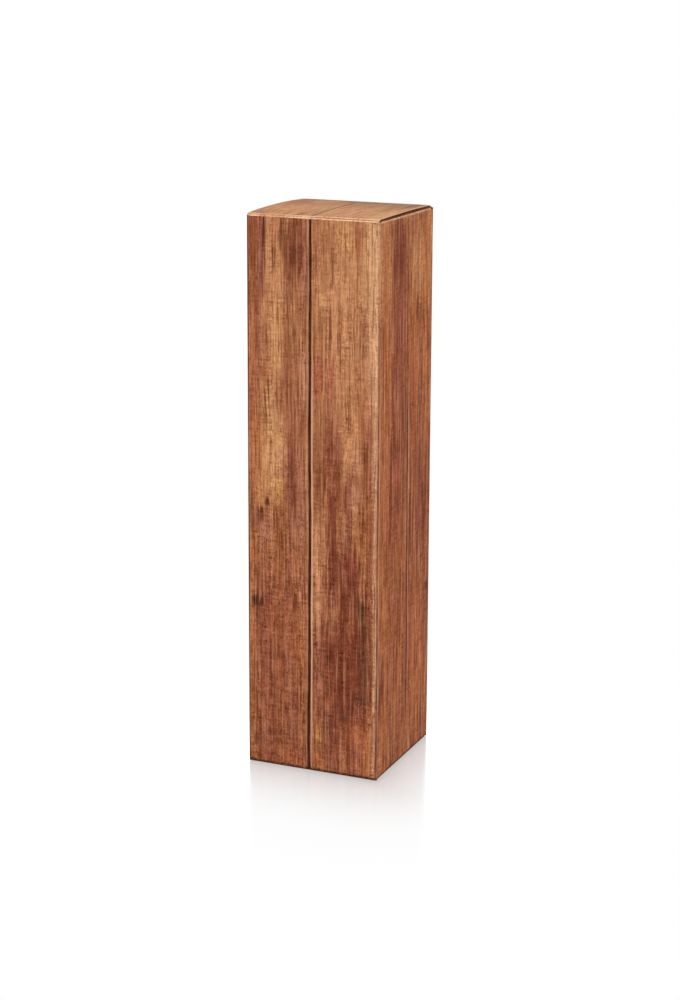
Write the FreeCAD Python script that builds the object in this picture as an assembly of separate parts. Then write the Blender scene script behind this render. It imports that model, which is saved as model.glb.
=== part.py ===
"""Folding wine carton for one bottle, in thin corrugated board with a printed outside.

Millimetres, +Z up, origin at the centre of the base. The wall that carries the lid faces -Y.
The board is one blank. Each panel has a printed liner, a fluting and an inner liner, and the panels
are joined by folds: fixed folds where the carton stays set up, beaded creases where a flap turns.
"""

import FreeCAD
import Part

import math
import os

from FreeCAD import Vector

# Overall size, outside the board
WIDTH = 90.0
DEPTH = 90.0
HEIGHT = 359.0  # floor to the printed face of the lid at its two creases

# Corrugated board
LINER = 0.16
FLUTE_HEIGHT = 0.78  # between the two liners
FLUTE_PITCH = 2.4
FLUTE_SHEET = 0.13
FLUTE_BEND = 0.28  # radius of a flute's crest, on the middle of its sheet
CREST_GLUE = 0.02  # film between a crest and its liner
BOARD = FLUTE_HEIGHT + 2 * LINER

# Fixed folds
FOLD_INSIDE = 0.7  # inside radius of a fixed fold
FOLD_RADIUS = BOARD + FOLD_INSIDE
CORNER_FOOT = 0.5  # corner folds stop this far above the floor
CORNER_HEAD_GAP = 0.4  # and this far below the lid

# Turning creases, where the board is crushed to a bead
CREASE_SLACK = 0.2  # lets the uncrushed board turn past its neighbour
CREASE_REACH = BOARD / 2 + CREASE_SLACK  # from the axis to the uncrushed board
BEAD_INSET = 0.02  # bead below the faces of the board
BEAD_RADIUS = BOARD / 2 - BEAD_INSET
NECK = 0.4  # crushed board between the bead and its panel

# Lid and tuck flap
LID_BOW = 1.0  # rise of the lid between its creases
LID_SIDE_GAP = 0.7  # lid's cut edge inside the outer face of the wall
LID_REST_GAP = 0.15  # between the lid and the dust flaps below it
TUCK_LENGTH = 18.0
TUCK_LEAN = 12.0  # degrees that the tucked flap leans in from the back wall
TUCK_WALL_GAP = 0.5
TUCK_SIDE_GAP = 1.5
TUCK_CORNER = 9.0

# Dust flaps
DUST_TIP_GAP = 12.4  # between the tips of the two flaps
DUST_FRONT_GAP = 1.4  # crease end to the inside of the front wall
DUST_BACK_GAP = 1.3  # flap to the tuck flap
DUST_TAPER = 0.62  # run of the tapered edge for each millimetre of reach
DUST_CORNER = 7.0

# Back wall and side seam
BACK_WALL_DROP = 0.8  # cut top edge below the lid
SEAM_EDGE_INSET = 0.3  # cut side edge inside the left wall's face
SEAM_GLUE = 0.1
GLUE_FLAP_WIDTH = 18.0
GLUE_FLAP_TAPER = 8.0
GLUE_FLAP_FOOT = 8.0
GLUE_FLAP_HEAD_GAP = 5.0  # below the tip of the tuck flap
SEAM_GLUE_MARGIN = 3.0

# Self-locking base
BASE_GLUE = 0.1
BASE_RISE_RUN = 6.0  # where a side flap climbs over the flaps below it
BASE_FLAP_GAP = 0.3
LOCK_STEP = 8.0  # how far each main flap hooks past the middle
LOCK_SLANT = 5.0
SIDE_FLAP_TIP_GAP = 14.0  # between the tips of the two side flaps
SIDE_FLAP_END_GAP = 1.0
SIDE_FLAP_TAPER = 4.0
BASE_GLUE_MARGIN = 2.0
BASE_GLUE_WIDTH = 12.0
BASE_GLUE_LENGTH = 24.0

# Directions
RIGHT = Vector(1, 0, 0)
LEFT = Vector(-1, 0, 0)
BACK = Vector(0, 1, 0)
FRONT = Vector(0, -1, 0)
UP = Vector(0, 0, 1)
DOWN = Vector(0, 0, -1)

# Places that several pieces share
HALF_WIDTH = WIDTH / 2
HALF_DEPTH = DEPTH / 2
WALL_HALF_WIDTH = HALF_WIDTH - FOLD_RADIUS  # flat part of the front and back walls
WALL_HALF_DEPTH = HALF_DEPTH - FOLD_RADIUS  # flat part of the side walls
LID_AXIS_Y = -HALF_DEPTH + BOARD / 2
LID_AXIS_Z = HEIGHT - BOARD / 2
TUCK_AXIS_Y = HALF_DEPTH - BOARD - TUCK_WALL_GAP - BOARD / 2
LID_SPAN = TUCK_AXIS_Y - LID_AXIS_Y
LID_HALF_WIDTH = HALF_WIDTH - LID_SIDE_GAP
TUCK_HALF_WIDTH = HALF_WIDTH - BOARD - TUCK_SIDE_GAP
DUST_AXIS_X = HALF_WIDTH - BOARD / 2
DUST_AXIS_Z = HEIGHT - BOARD - LID_REST_GAP - BOARD / 2
DUST_LENGTH = DUST_AXIS_X - DUST_TIP_GAP / 2
DUST_FRONT_Y = -HALF_DEPTH + BOARD + DUST_FRONT_GAP
LEAN = math.radians(TUCK_LEAN)
TUCK_INSIDE_Y = TUCK_AXIS_Y - BOARD / 2 / math.cos(LEAN)
TUCK_INSIDE_Y -= math.tan(LEAN) * (LID_AXIS_Z - DUST_AXIS_Z + BOARD / 2)  # beside the dust flaps
DUST_BACK_Y = TUCK_INSIDE_Y - DUST_BACK_GAP
GLUE_FLAP_Y = HALF_DEPTH - BOARD - SEAM_GLUE  # face that is glued to the back wall
LEFT_WALL_BACK_Y = GLUE_FLAP_Y - FOLD_RADIUS
SIDE_FLAP_Z = BOARD + BASE_GLUE
SIDE_FLAP_X = WALL_HALF_WIDTH - BASE_RISE_RUN
SIDE_FLAP_LENGTH = SIDE_FLAP_X - SIDE_FLAP_TIP_GAP / 2

BOW_RADIUS = (LID_SPAN**2 / 4 + LID_BOW**2) / (2 * LID_BOW)
LID_END_ANGLE = math.asin(LID_SPAN / 2 / BOW_RADIUS) - CREASE_REACH / BOW_RADIUS


def export(name, shape):
    """Write one node's solids to its STEP file."""
    solids = shape.Solids
    node = solids[0] if len(solids) == 1 else Part.makeCompound(solids)
    node.exportStep(os.path.join("parts", name + ".step"))


def panel_frame(origin, along, outward):
    """Placement with y along the flutes and z out of the printed face."""
    return FreeCAD.Placement(origin, FreeCAD.Rotation(along.cross(outward), along, outward))


def outline(corners):
    """Face inside (u, v, radius) corners, each rounded by its radius."""
    places = [Vector(u, v, 0) for u, v, _ in corners]
    rounds = []
    for i, (_, _, radius) in enumerate(corners):
        to_last = (places[i - 1] - places[i]).normalize()
        to_next = (places[(i + 1) % len(places)] - places[i]).normalize()
        half = to_last.getAngle(to_next) / 2
        setback = radius / math.tan(half)
        middle = places[i] + (to_last + to_next).normalize() * radius * (1 / math.sin(half) - 1)
        rounds.append((places[i] + to_last * setback, middle, places[i] + to_next * setback))
    edges = []
    for i, (start, middle, end) in enumerate(rounds):
        if corners[i][2] > 0:
            edges.append(Part.Arc(start, middle, end).toShape())
        edges.append(Part.LineSegment(end, rounds[(i + 1) % len(rounds)][0]).toShape())
    return Part.Face(Part.Wire(edges))


def rectangle(u_low, u_high, v_low, v_high):
    """Sharp corners of a rectangle, for outline()."""
    return [(u_low, v_low, 0), (u_high, v_low, 0), (u_high, v_high, 0), (u_low, v_high, 0)]


def flute_section(u_low, u_high):
    """Face of the fluted sheet across u, in the plane v = 0, with the printed face of the board at w = 0."""
    half_pitch = FLUTE_PITCH / 2
    wave = FLUTE_HEIGHT - FLUTE_SHEET - 2 * CREST_GLUE  # height of the sheet's middle line
    centre_drop = wave - 2 * FLUTE_BEND
    flank = math.atan2(centre_drop, half_pitch)
    flank += math.asin(2 * FLUTE_BEND / math.hypot(half_pitch, centre_drop))
    count = int((u_high - u_low) / half_pitch)
    first_u = (u_low + u_high - count * half_pitch) / 2

    def bend_point(index, angle, radius):
        """Point on one crest or trough, with the angle counted from its top or bottom."""
        side = 1 if index % 2 == 0 else -1
        u = first_u + index * half_pitch + radius * math.sin(angle)
        return Vector(u, 0, side * (wave / 2 - FLUTE_BEND + radius * math.cos(angle)) - BOARD / 2)

    def face_edges(upper):
        """Edges of one side of the sheet, from low u to high u."""
        edges = []
        last = None
        for index in range(count + 1):
            outside = (index % 2 == 0) == upper
            radius = FLUTE_BEND + (FLUTE_SHEET if outside else -FLUTE_SHEET) / 2
            low = 0 if index == 0 else -flank
            high = 0 if index == count else flank
            start, middle, end = (bend_point(index, a, radius) for a in (low, (low + high) / 2, high))
            if last is not None:
                edges.append(Part.LineSegment(last, start).toShape())
            edges.append(Part.Arc(start, middle, end).toShape())
            last = end
        return edges

    above = face_edges(True)
    below = face_edges(False)
    low_end = Part.LineSegment(above[0].Vertexes[0].Point, below[0].Vertexes[0].Point).toShape()
    high_end = Part.LineSegment(above[-1].Vertexes[-1].Point, below[-1].Vertexes[-1].Point).toShape()
    return Part.Face(Part.Wire(Part.__sortEdges__([low_end, *above, high_end, *below])))


def flat_panel(name, corners, frame, square=True):
    """Export the three plies of a flat panel, given its outline and its placement."""
    face = outline(corners)
    extent = face.BoundBox
    printed = face.extrude(Vector(0, 0, -LINER))
    inner = printed.translated(Vector(0, 0, LINER - BOARD))
    flutes = flute_section(extent.XMin, extent.XMax).translated(Vector(0, extent.YMin, 0))
    flutes = flutes.extrude(Vector(0, extent.YLength, 0))
    if not square:
        flutes = flutes.common(face.extrude(Vector(0, 0, -BOARD)))
    for ply, shape in (("printed_liner", printed), ("fluting", flutes), ("inner_liner", inner)):
        shape.Placement = frame.multiply(shape.Placement)
        export(f"{name}_{ply}", shape)


def bowed_panel(name, half_width, axis):
    """Export the plies of the lid, an arc between two crease axes, the first of them at axis."""
    reach = math.degrees(LID_END_ANGLE)
    centre = Vector(0, LID_SPAN / 2, LID_BOW - BOW_RADIUS)
    top = LID_BOW + BOARD / 2
    strip = Part.makePlane(2 * half_width, LINER, Vector(-half_width, 0, 0), FRONT, RIGHT)
    sections = {
        "printed_liner": strip.translated(Vector(0, 0, -LINER)),
        "fluting": flute_section(-half_width, half_width),
        "inner_liner": strip.translated(Vector(0, 0, -BOARD)),
    }
    for ply, section in sections.items():
        section.translate(Vector(0, LID_SPAN / 2, top))
        section.rotate(centre, RIGHT, reach)
        shape = section.revolve(centre, LEFT, 2 * reach)
        shape.translate(axis)
        export(f"{name}_{ply}", shape)


def crease(name, start, end, towards_panel, neck_half_length):
    """Export a beaded crease from start to end, with a crushed neck to the panel that carries it."""
    along = end - start
    bead = Part.makeCylinder(BEAD_RADIUS, along.Length, start, along)
    neck = Part.makeBox(NECK, 2 * neck_half_length, CREASE_REACH)
    neck.translate(Vector(-NECK / 2, -neck_half_length, 0))
    direction = Vector(along).normalize()
    turn = FreeCAD.Rotation(direction.cross(towards_panel), direction, towards_panel)
    neck.Placement = FreeCAD.Placement((start + end) / 2, turn).multiply(neck.Placement)
    export(name, bead.fuse(neck).removeSplitter())


def corner_fold(name, x, y, turn, low, high):
    """Export an upright fold about (x, y), a quarter turn that starts at turn degrees from +X."""
    tube = Part.makeCylinder(FOLD_RADIUS, high - low, Vector(0, 0, low), UP, 90)
    bore = Part.makeCylinder(FOLD_INSIDE, high - low, Vector(0, 0, low), UP, 90)
    fold = tube.cut(bore)
    fold.rotate(Vector(), UP, turn)
    fold.translate(Vector(x, y, 0))
    export(name, fold)


def fold_section(run, rise):
    """Section of a base fold in the plane y = 0: down the wall, round, then climbing by rise over run."""
    outside = FOLD_RADIUS
    inside = FOLD_INSIDE
    slope = math.sqrt(0.5)
    wall_out = Vector(outside, 0, outside)
    wall_in = Vector(inside, 0, outside)
    base_out = Vector(0, 0, 0)
    base_in = Vector(0, 0, BOARD)
    edges = [
        Part.Arc(wall_out, Vector(outside * slope, 0, outside * (1 - slope)), base_out).toShape(),
        Part.Arc(base_in, Vector(inside * slope, 0, outside - inside * slope), wall_in).toShape(),
        Part.LineSegment(wall_in, wall_out).toShape(),
    ]
    far_out = Vector(-run, 0, rise)
    far_in = Vector(-run, 0, rise + BOARD)
    if run > 0:
        edges.append(Part.LineSegment(base_out, far_out).toShape())
        edges.append(Part.LineSegment(far_in, base_in).toShape())
    edges.append(Part.LineSegment(far_out, far_in).toShape())
    return Part.Face(Part.Wire(Part.__sortEdges__(edges)))


def base_fold(name, place, outward, low, high, run=0.0, rise=0.0):
    """Export a base fold on the wall whose face is place from the middle, from low to high along it."""
    along = UP.cross(outward)
    fold = fold_section(run, rise).translated(Vector(0, low, 0)).extrude(Vector(0, high - low, 0))
    fold.Placement = FreeCAD.Placement(outward * (place - FOLD_RADIUS), FreeCAD.Rotation(outward, along, UP))
    export(name, fold)


def walls():
    """Four walls and the fixed folds at their corners."""
    side_top = DUST_AXIS_Z - CREASE_REACH
    front_top = LID_AXIS_Z - CREASE_REACH
    front = rectangle(-WALL_HALF_WIDTH, WALL_HALF_WIDTH, FOLD_RADIUS, front_top)
    flat_panel("front_wall", front, panel_frame(FRONT * HALF_DEPTH, UP, FRONT))
    right = rectangle(-WALL_HALF_DEPTH, WALL_HALF_DEPTH, FOLD_RADIUS, side_top)
    flat_panel("right_wall", right, panel_frame(RIGHT * HALF_WIDTH, UP, RIGHT))
    back_top = HEIGHT - BACK_WALL_DROP
    back = rectangle(-WALL_HALF_WIDTH, HALF_WIDTH - SEAM_EDGE_INSET, FOLD_RADIUS, back_top)
    flat_panel("back_wall", back, panel_frame(BACK * HALF_DEPTH, UP, BACK))
    left = rectangle(-LEFT_WALL_BACK_Y, WALL_HALF_DEPTH, FOLD_RADIUS, side_top)
    flat_panel("left_wall", left, panel_frame(LEFT * HALF_WIDTH, UP, LEFT))
    head = HEIGHT - BOARD - CORNER_HEAD_GAP
    corner_fold("front_right_corner_fold", WALL_HALF_WIDTH, -WALL_HALF_DEPTH, -90, CORNER_FOOT, head)
    corner_fold("front_left_corner_fold", -WALL_HALF_WIDTH, -WALL_HALF_DEPTH, 180, CORNER_FOOT, head)
    corner_fold("back_right_corner_fold", WALL_HALF_WIDTH, WALL_HALF_DEPTH, 0, CORNER_FOOT, head)


def side_seam():
    """Glue flap on the left wall, its fold, and the glue that holds the back wall to it."""
    foot = FOLD_RADIUS + GLUE_FLAP_FOOT
    head = LID_AXIS_Z - TUCK_LENGTH * math.cos(LEAN) - GLUE_FLAP_HEAD_GAP
    root = WALL_HALF_WIDTH
    tip = root - GLUE_FLAP_WIDTH
    low = foot + GLUE_FLAP_TAPER
    high = head - GLUE_FLAP_TAPER
    corners = [(root, foot, 0), (root, head, 0), (tip, high, 0), (tip, low, 0)]
    flat_panel("glue_flap", corners, panel_frame(BACK * GLUE_FLAP_Y, UP, BACK), square=False)
    corner_fold("glue_flap_fold", -WALL_HALF_WIDTH, LEFT_WALL_BACK_Y, 90, foot, head)
    film = Part.makeBox(GLUE_FLAP_WIDTH - 2 * SEAM_GLUE_MARGIN, SEAM_GLUE, high - low)
    film.translate(Vector(-root + SEAM_GLUE_MARGIN, GLUE_FLAP_Y, low))
    export("side_seam_glue", film)


def lid():
    """Bowed lid on the front wall, with the tuck flap on its far edge."""
    lid_axis = Vector(0, LID_AXIS_Y, LID_AXIS_Z)
    tuck_axis = Vector(0, TUCK_AXIS_Y, LID_AXIS_Z)
    reach = RIGHT * LID_HALF_WIDTH
    bowed_panel("lid", LID_HALF_WIDTH, lid_axis)
    crease("lid_crease", lid_axis - reach, lid_axis + reach, DOWN, WALL_HALF_WIDTH)
    lid_end = Vector(0, -math.cos(LID_END_ANGLE), math.sin(LID_END_ANGLE))
    tuck_reach = RIGHT * TUCK_HALF_WIDTH
    crease("tuck_flap_crease", tuck_axis - tuck_reach, tuck_axis + tuck_reach, lid_end, TUCK_HALF_WIDTH)
    along = Vector(0, -math.sin(LEAN), -math.cos(LEAN))
    outward = Vector(0, math.cos(LEAN), -math.sin(LEAN))
    corners = rectangle(-TUCK_HALF_WIDTH, TUCK_HALF_WIDTH, CREASE_REACH, TUCK_LENGTH)
    corners[2:] = [(u, v, TUCK_CORNER) for u, v, _ in corners[2:]]
    frame = panel_frame(tuck_axis + outward * (BOARD / 2), along, outward)
    flat_panel("tuck_flap", corners, frame, square=False)


def dust_flaps():
    """Flaps on the side walls, under the lid, tapered on the lid's hinge side."""
    taper = DUST_TAPER * (DUST_LENGTH - CREASE_REACH)
    for side, outward in (("left", LEFT), ("right", RIGHT)):
        mirror = outward.x  # the flap's u axis runs along +Y on the right and -Y on the left
        corners = [
            (mirror * DUST_FRONT_Y, CREASE_REACH, 0),
            (mirror * DUST_BACK_Y, CREASE_REACH, 0),
            (mirror * DUST_BACK_Y, DUST_LENGTH, DUST_CORNER),
            (mirror * (DUST_FRONT_Y + taper), DUST_LENGTH, DUST_CORNER),
        ]
        axis = outward * DUST_AXIS_X + UP * DUST_AXIS_Z
        frame = panel_frame(axis + UP * (BOARD / 2), -outward, UP)
        flat_panel(f"{side}_dust_flap", corners, frame, square=False)
        start = axis + BACK * DUST_FRONT_Y
        end = axis + BACK * DUST_BACK_Y
        crease(f"{side}_dust_flap_crease", start, end, DOWN, (DUST_BACK_Y - DUST_FRONT_Y) / 2)


def base():
    """Self-locking base: two hooked main flaps below, two side flaps glued on top of them.

    Each main flap is glued to one side flap, the front one on the left and the back one on the right.
    """
    half = SIDE_FLAP_X - BASE_FLAP_GAP
    middle = WALL_HALF_DEPTH - BASE_FLAP_GAP / 2
    hooked = [
        (-half, 0, 0),
        (half, 0, 0),
        (half, middle + LOCK_STEP, 0),
        (LOCK_SLANT, middle + LOCK_STEP, 0),
        (-LOCK_SLANT, middle - LOCK_STEP, 0),
        (-half, middle - LOCK_STEP, 0),
    ]
    for side, outward in (("front", FRONT), ("back", BACK)):
        frame = panel_frame(outward * WALL_HALF_DEPTH, -outward, DOWN)
        flat_panel(f"base_{side}_flap", hooked, frame, square=False)
        base_fold(f"base_{side}_fold", HALF_DEPTH, outward, -WALL_HALF_WIDTH, WALL_HALF_WIDTH)
    root = WALL_HALF_DEPTH - SIDE_FLAP_END_GAP
    tip = root - SIDE_FLAP_TAPER
    tapered = [(-root, 0, 0), (root, 0, 0), (tip, SIDE_FLAP_LENGTH, 0), (-tip, SIDE_FLAP_LENGTH, 0)]
    folds = {"left": (-LEFT_WALL_BACK_Y, root), "right": (-root, root)}
    for side, outward in (("left", LEFT), ("right", RIGHT)):
        frame = panel_frame(outward * SIDE_FLAP_X + UP * SIDE_FLAP_Z, -outward, DOWN)
        flat_panel(f"base_{side}_flap", tapered, frame, square=False)
        low, high = folds[side]
        base_fold(f"base_{side}_fold", HALF_WIDTH, outward, low, high, BASE_RISE_RUN, SIDE_FLAP_Z)
    corner_x = -half + BASE_GLUE_MARGIN
    corner_y = -tip + BASE_GLUE_MARGIN
    film = Part.makeBox(BASE_GLUE_WIDTH, BASE_GLUE_LENGTH, BASE_GLUE, Vector(corner_x, corner_y, BOARD))
    opposite = film.copy()
    opposite.rotate(Vector(), UP, 180)
    export("base_glue", Part.makeCompound([film, opposite]))


def main():
    os.makedirs("parts", exist_ok=True)
    walls()
    side_seam()
    lid()
    dust_flaps()
    base()


main()
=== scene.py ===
"""Looks of a folding wine carton in thin corrugated board with a plank print on the outside.

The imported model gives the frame: metres, +Z up, the wall that carries the lid faces -Y. Sizes here are in
millimetres and become metres when a mesh is made. Every printed sheet, every fold and the three sheets of
the lid's board are built anew, with the place on the flat blank kept at each point, so that the print runs on
over the folds. The other fluting and inner liners, and the glue, stay as packed and get their finishes.
"""

import logging
import math
from dataclasses import dataclass
from enum import Enum
from typing import Any, Callable, Dict, List, Optional, Sequence, Tuple, Union

import bpy
from mathutils import Matrix, Vector, noise


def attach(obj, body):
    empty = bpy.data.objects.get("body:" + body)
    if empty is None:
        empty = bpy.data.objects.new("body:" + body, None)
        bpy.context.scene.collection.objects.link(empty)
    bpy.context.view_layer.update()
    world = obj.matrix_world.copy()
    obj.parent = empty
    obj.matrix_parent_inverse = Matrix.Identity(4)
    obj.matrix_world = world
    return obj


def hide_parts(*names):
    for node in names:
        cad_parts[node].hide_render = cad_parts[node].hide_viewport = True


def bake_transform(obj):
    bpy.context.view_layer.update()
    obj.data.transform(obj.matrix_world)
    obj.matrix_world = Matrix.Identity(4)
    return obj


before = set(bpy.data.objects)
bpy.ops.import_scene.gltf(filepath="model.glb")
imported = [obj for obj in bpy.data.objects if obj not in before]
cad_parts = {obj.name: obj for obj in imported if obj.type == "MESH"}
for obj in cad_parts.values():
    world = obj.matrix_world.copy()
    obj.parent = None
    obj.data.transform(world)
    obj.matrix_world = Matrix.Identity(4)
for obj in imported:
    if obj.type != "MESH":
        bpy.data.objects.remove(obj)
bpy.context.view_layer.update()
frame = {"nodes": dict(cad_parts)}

LOG = logging.getLogger("carton")
MM = 0.001
METRE = 1000.0
SHARP_ANGLE = math.radians(35)
# Keeps noise off the whole numbers, where it is 0.
OFF_GRID = 0.37
# Material slots of a drawn piece of board.
PRINT, CUT, BACK = range(3)
X, Y, Z = (Vector(axis) for axis in ((1, 0, 0), (0, 1, 0), (0, 0, 1)))
WHITE = (1.0, 1.0, 1.0, 1.0)

Pair = Tuple[float, float]
Colour = Tuple[float, float, float, float]
Number = Union["Signal", float]


def ink(red: int, green: int, blue: int) -> Colour:
    """Colour for a shader from screen values.

    Args:
        red, green, blue: screen values from 0 to 255.

    Returns:
        The linear colour with full alpha.
    """
    parts = []
    for value in (red, green, blue):
        share = value / 255
        parts.append(share / 12.92 if share <= 0.04045 else ((share + 0.055) / 1.055) ** 2.4)
    return (parts[0], parts[1], parts[2], 1.0)


def blend(low: float, high: float, share: float) -> float:
    """Value between low and high."""
    return low + (high - low) * share


def spread(low: float, high: float, step: float) -> List[float]:
    """Evenly spaced places from low to high, both in the list, at most a step apart."""
    count = max(1, math.ceil(abs(high - low) / step))
    return [blend(low, high, i / count) for i in range(count + 1)]


def bump(share: float, centre: float, width: float) -> float:
    """Bell curve of height 1 round a centre."""
    return math.exp(-(((share - centre) / width) ** 2))


def drift(place: float, seed: float, wave: float) -> float:
    """Slow wander from -1 to 1 at a place along a length, with a seed and the length of one swing."""
    return noise.noise(Vector((place / wave, seed, OFF_GRID)))


class Signal:
    """Output of a shader node, with Python operators that add the nodes for their sums."""

    def __init__(self, recipe: "Recipe", socket: bpy.types.NodeSocket) -> None:
        """Wrap one output socket."""
        self.recipe = recipe
        self.socket = socket

    def __add__(self, other: Number) -> "Signal":
        """Sum."""
        return self.recipe.math("ADD", self, other)

    def __sub__(self, other: Number) -> "Signal":
        """Difference."""
        return self.recipe.math("SUBTRACT", self, other)

    def __rsub__(self, other: Number) -> "Signal":
        """Difference from a number."""
        return self.recipe.math("SUBTRACT", other, self)

    def __mul__(self, other: Number) -> "Signal":
        """Product."""
        return self.recipe.math("MULTIPLY", self, other)

    def __truediv__(self, other: Number) -> "Signal":
        """Quotient."""
        return self.recipe.math("DIVIDE", self, other)

    def __abs__(self) -> "Signal":
        """Size without its sign."""
        return self.recipe.math("ABSOLUTE", self)

    __radd__ = __add__
    __rmul__ = __mul__

    def floor(self) -> "Signal":
        """Whole number below."""
        return self.recipe.math("FLOOR", self)

    def clamped(self) -> "Signal":
        """Value held between 0 and 1."""
        return self.recipe.math("MINIMUM", self.recipe.math("MAXIMUM", self, 0.0), 1.0)

    def step(self, low: float, high: float) -> "Signal":
        """Smooth step.

        Args:
            low: value at which it is 0.
            high: value at which it is 1, which may be the smaller of the two.

        Returns:
            From 0 to 1.
        """
        if low > high:
            return 1.0 - self.step(high, low)
        ends = {"Value": self, "From Min": low, "From Max": high}
        return self.recipe.node("ShaderNodeMapRange", {"interpolation_type": "SMOOTHSTEP"}, ends)


class Recipe:
    """Node tree of one material or of the world."""

    def __init__(self, owner: Union[bpy.types.Material, bpy.types.World]) -> None:
        """Start an empty tree.

        Args:
            owner: the material or world to give it to.
        """
        self.owner = owner
        owner.use_nodes = True
        self.tree = owner.node_tree
        self.tree.nodes.clear()

    @classmethod
    def named(cls, name: str) -> "Recipe":
        """Recipe of a new material."""
        return cls(bpy.data.materials.new(name))

    def node(
        self,
        kind: str,
        settings: Optional[Dict[str, Any]] = None,
        inputs: Optional[Dict[Union[str, int], Any]] = None,
        output: Union[str, int] = 0,
    ) -> Signal:
        """Add any node.

        Args:
            kind: Blender's name of the node type.
            settings: the node's own settings, set first; stops are a colour ramp's.
            inputs: values or signals for its sockets, by name or number.
            output: the output to return.

        Returns:
            The chosen output.
        """
        made = self.tree.nodes.new(kind)
        for key, value in (settings or {}).items():
            if key == "stops":
                self.set_stops(made.color_ramp, value)
            else:
                setattr(made, key, value)
        for key, value in (inputs or {}).items():
            if isinstance(value, Signal):
                self.tree.links.new(value.socket, made.inputs[key])
            else:
                made.inputs[key].default_value = value
        return Signal(self, made.outputs[output])

    @staticmethod
    def set_stops(ramp: bpy.types.ColorRamp, stops: Sequence[Tuple[float, Colour]]) -> None:
        """Give a colour ramp its stops.

        Args:
            ramp: the ramp to fill.
            stops: places from 0 to 1 with their colours.
        """
        while len(ramp.elements) < len(stops):
            ramp.elements.new(1.0)
        for element, (place, colour) in zip(ramp.elements, stops):
            element.position = place
            element.color = colour

    def math(self, operation: str, first: Number, second: Optional[Number] = None) -> Signal:
        """Result of a Math node with one or two values."""
        values = {0: first} if second is None else {0: first, 1: second}
        return self.node("ShaderNodeMath", {"operation": operation}, values)

    def mix(self, factor: Number, first: Any, second: Any, mode: str = "MIX") -> Signal:
        """Two colours mixed, with the factor as the share of the second."""
        settings = {"data_type": "RGBA", "blend_type": mode}
        # Inputs 6 and 7 and output 2 are the node's sockets for colours.
        return self.node("ShaderNodeMix", settings, {0: factor, 6: first, 7: second}, 2)

    def attribute(self, name: str, output: str) -> Signal:
        """Value kept at the mesh's points."""
        return self.node("ShaderNodeAttribute", {"attribute_name": name}, output=output)

    def parts(self, vector: Signal) -> List[Signal]:
        """The three numbers of a vector."""
        first = self.node("ShaderNodeSeparateXYZ", inputs={0: vector})
        return [Signal(self, socket) for socket in first.socket.node.outputs]

    def vector(self, x: Number, y: Number, z: Number = 0.0) -> Signal:
        """Vector of three numbers."""
        return self.node("ShaderNodeCombineXYZ", inputs={0: x, 1: y, 2: z})

    def length(self, vector: Signal) -> Signal:
        """Length of a vector."""
        return self.node("ShaderNodeVectorMath", {"operation": "LENGTH"}, {0: vector}, "Value")

    def place(self) -> List[Signal]:
        """Place on the object in millimetres, as three numbers."""
        return [part * METRE for part in self.parts(self.node("ShaderNodeTexCoord", output="Object"))]

    def ribs(self, place: Signal, pitch: float) -> Signal:
        """Wave from 0 to 1 with the flutes' spacing."""
        return self.math("SINE", place * (2 * math.pi / pitch)) * 0.5 + 0.5

    def cloud(self, place: Signal, detail: float = 2.0, rough: float = 0.5, flat: bool = True) -> Signal:
        """Noise from 0 to 1.

        Args:
            place: where to read it, with one unit for each swing.
            detail: number of finer layers.
            rough: weight of the finer layers.
            flat: whether only x and y count.

        Returns:
            The noise.
        """
        settings = {"noise_dimensions": "2D" if flat else "3D"}
        values = {"Vector": place, "Scale": 1.0, "Detail": detail, "Roughness": rough}
        return self.node("ShaderNodeTexNoise", settings, values)

    def solid(self, place: Sequence[Signal], size: Pair, detail: float, rough: float) -> Signal:
        """Noise through a body.

        Args:
            place: where to read it, in millimetres.
            size: length of one swing, level and upright.
            detail: number of finer layers.
            rough: weight of the finer layers.

        Returns:
            The noise, from 0 to 1.
        """
        x, y, z = place
        at = self.vector(x / size[0], y / size[0], z / size[1])
        return self.cloud(at, detail, rough, flat=False)

    def grain(self, kind: "Grain", across: Signal, along: Signal, wider: Number = 0.0) -> Signal:
        """Noise of the plank print.

        Args:
            kind: the layer of the grain.
            across, along: place on the plank, in millimetres.
            wider: millimetres added to its swing across the grain.

        Returns:
            The noise, from 0 to 1.
        """
        layer = kind.value
        x = across / (wider + layer.across) + layer.shift[0]
        y = along / layer.along + layer.shift[1]
        return self.cloud(self.vector(x, y), layer.detail, layer.rough)

    def relief(self, height: Signal, depth: float) -> Signal:
        """Normal from a bump, of which a height of 1 stands up by the depth in millimetres."""
        values = {"Strength": 1.0, "Distance": depth * MM, "Height": height}
        return self.node("ShaderNodeBump", inputs=values)

    def surface(self, **values: Any) -> bpy.types.Material:
        """End the tree in a Principled shader.

        Args:
            values: its sockets, with an underscore for each space.

        Returns:
            The finished material.
        """
        sockets = {name.replace("_", " "): value for name, value in values.items()}
        shader = self.node("ShaderNodeBsdfPrincipled", inputs=sockets)
        return self.ended(shader)

    def ended(self, shader: Signal, kind: str = "ShaderNodeOutputMaterial") -> Any:
        """End the tree in a shader.

        Args:
            shader: the surface's shader.
            kind: Blender's name of the output node.

        Returns:
            The finished material or world.
        """
        end = self.tree.nodes.new(kind)
        self.tree.links.new(shader.socket, end.inputs["Surface"])
        return self.owner


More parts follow.
